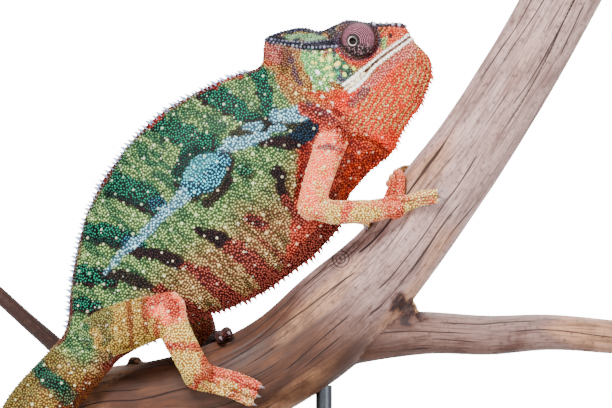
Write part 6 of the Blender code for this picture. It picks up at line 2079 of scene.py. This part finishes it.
def make_rods():
    steel = stand_material("dark_steel", (0.34, 0.35, 0.37), 0.32, 1.0, 0.0)
    for name in ("stand_rod_rear", "stand_rod_front"):
        low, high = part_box(name)
        middle = (np.array(low) + np.array(high)) / 2 / MM
        top = high[2] / MM
        rings = [disc(ROD_RADIUS * share, BASE_SIZE[2] + height, 40, middle) for share, height in ROD_FOOT]
        points, faces = loft(rings + [disc(ROD_RADIUS, top - 0.6, 40, middle)])
        mesh = mesh_from(name + "_turned", points, faces)
        face_outwards(mesh)
        mesh.set_sharp_from_angle(angle=math.radians(35))
        finished_piece(new_object(name + "_turned", mesh), [name], steel)


make_base()
make_rods()
print("stand made,", round(time.time() - STARTED), "s so far")

# %% [markdown]
# The camera looks level at the animal's right flank from far away, as the picture does, so that the drawing
# is nearly flat. The light is soft: one large lamp from the upper front and weaker ones from the other sides.
# The room is a white world, so that the model can be looked at from all sides and no wall stands in the way.

# %% Camera, light and room
FRAME_WIDTH = 263.16
CAMERA_DISTANCE = 2500.0
CAMERA_AIM = (4.3, 0.0, 161.68)
SENSOR = 36.0
GLOW = 16.0               # how bright the room looks, and how much light it gives
ROOM_LIGHT = 0.72
FLOOR_REACH = 1900.0
LAMP_AIM = (0, 0, 150)


def lamp(name, place, size, power):
    """A soft round lamp that looks at the middle of the animal."""
    light = bpy.data.lights.new(name, "AREA")
    light.shape, light.size, light.energy = "DISK", size, power
    thing = new_object(name, light)
    thing.location = Vector(place) * MM
    thing.rotation_euler = (Vector(LAMP_AIM) - Vector(place)).to_track_quat("-Z", "Y").to_euler()


camera_data = bpy.data.cameras.new("camera")
camera_data.sensor_width = SENSOR
camera_data.lens = SENSOR * CAMERA_DISTANCE / FRAME_WIDTH
camera_data.clip_end = 20.0
camera = new_object("camera", camera_data)
camera.location = Vector((CAMERA_AIM[0], -CAMERA_DISTANCE, CAMERA_AIM[2])) * MM
camera.rotation_euler = (math.pi / 2, 0.0, 0.0)
bpy.context.scene.camera = camera

lamp("key_light", (-600, -1500, 1500), 0.7, 92.0)
lamp("fill_light", (1300, -1300, 500), 1.2, 20.0)
lamp("back_light", (200, 1000, 1500), 1.0, 32.0)


def studio_world():
    """An evenly white room. It shows white behind the model, and gives a soft light from all round."""
    world = bpy.data.worlds.new("studio")
    world.use_nodes = True
    tree = world.node_tree
    seen = node(tree, "ShaderNodeLightPath").outputs["Is Camera Ray"]
    feed(tree, tree.nodes["Background"], {"Color": (1.0, 1.0, 1.0, 1.0),
                                          "Strength": ranged(tree, seen, 0.0, 1.0, ROOM_LIGHT, GLOW)})
    bpy.context.scene.world = world


def paper_floor():
    """A round sheet of pale paper under the stand. Its far edge lies below the picture."""
    points, faces = loft([disc(reach, height, 96) for reach, height in
                          ((20.0, -2.0), (FLOOR_REACH, -2.0), (FLOOR_REACH, 0.0), (20.0, 0.0))])
    floor = new_object("paper_floor", mesh_from("paper_floor", points, faces))
    material, tree, shader = new_material("pale_paper")
    tone = ranged(tree, fine_noise(tree, 900.0), 0.0, 1.0, 0.80, 0.84)
    feed(tree, shader, {"Base Color": grey(tree, tone), "Roughness": 0.85})
    floor.data.materials.append(material)
    floor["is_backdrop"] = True


studio_world()
paper_floor()
print("lens", round(camera_data.lens), "mm")

# %% [markdown]
# The last cell removes the shapes that only the trees used and measures the finished model's box.

# %% Finish
for thing in SHAPES.values():
    bpy.data.objects.remove(thing, do_unlink=True)
VISUAL_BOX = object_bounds()
print("box", VISUAL_BOX, "made in", round(time.time() - STARTED), "s")
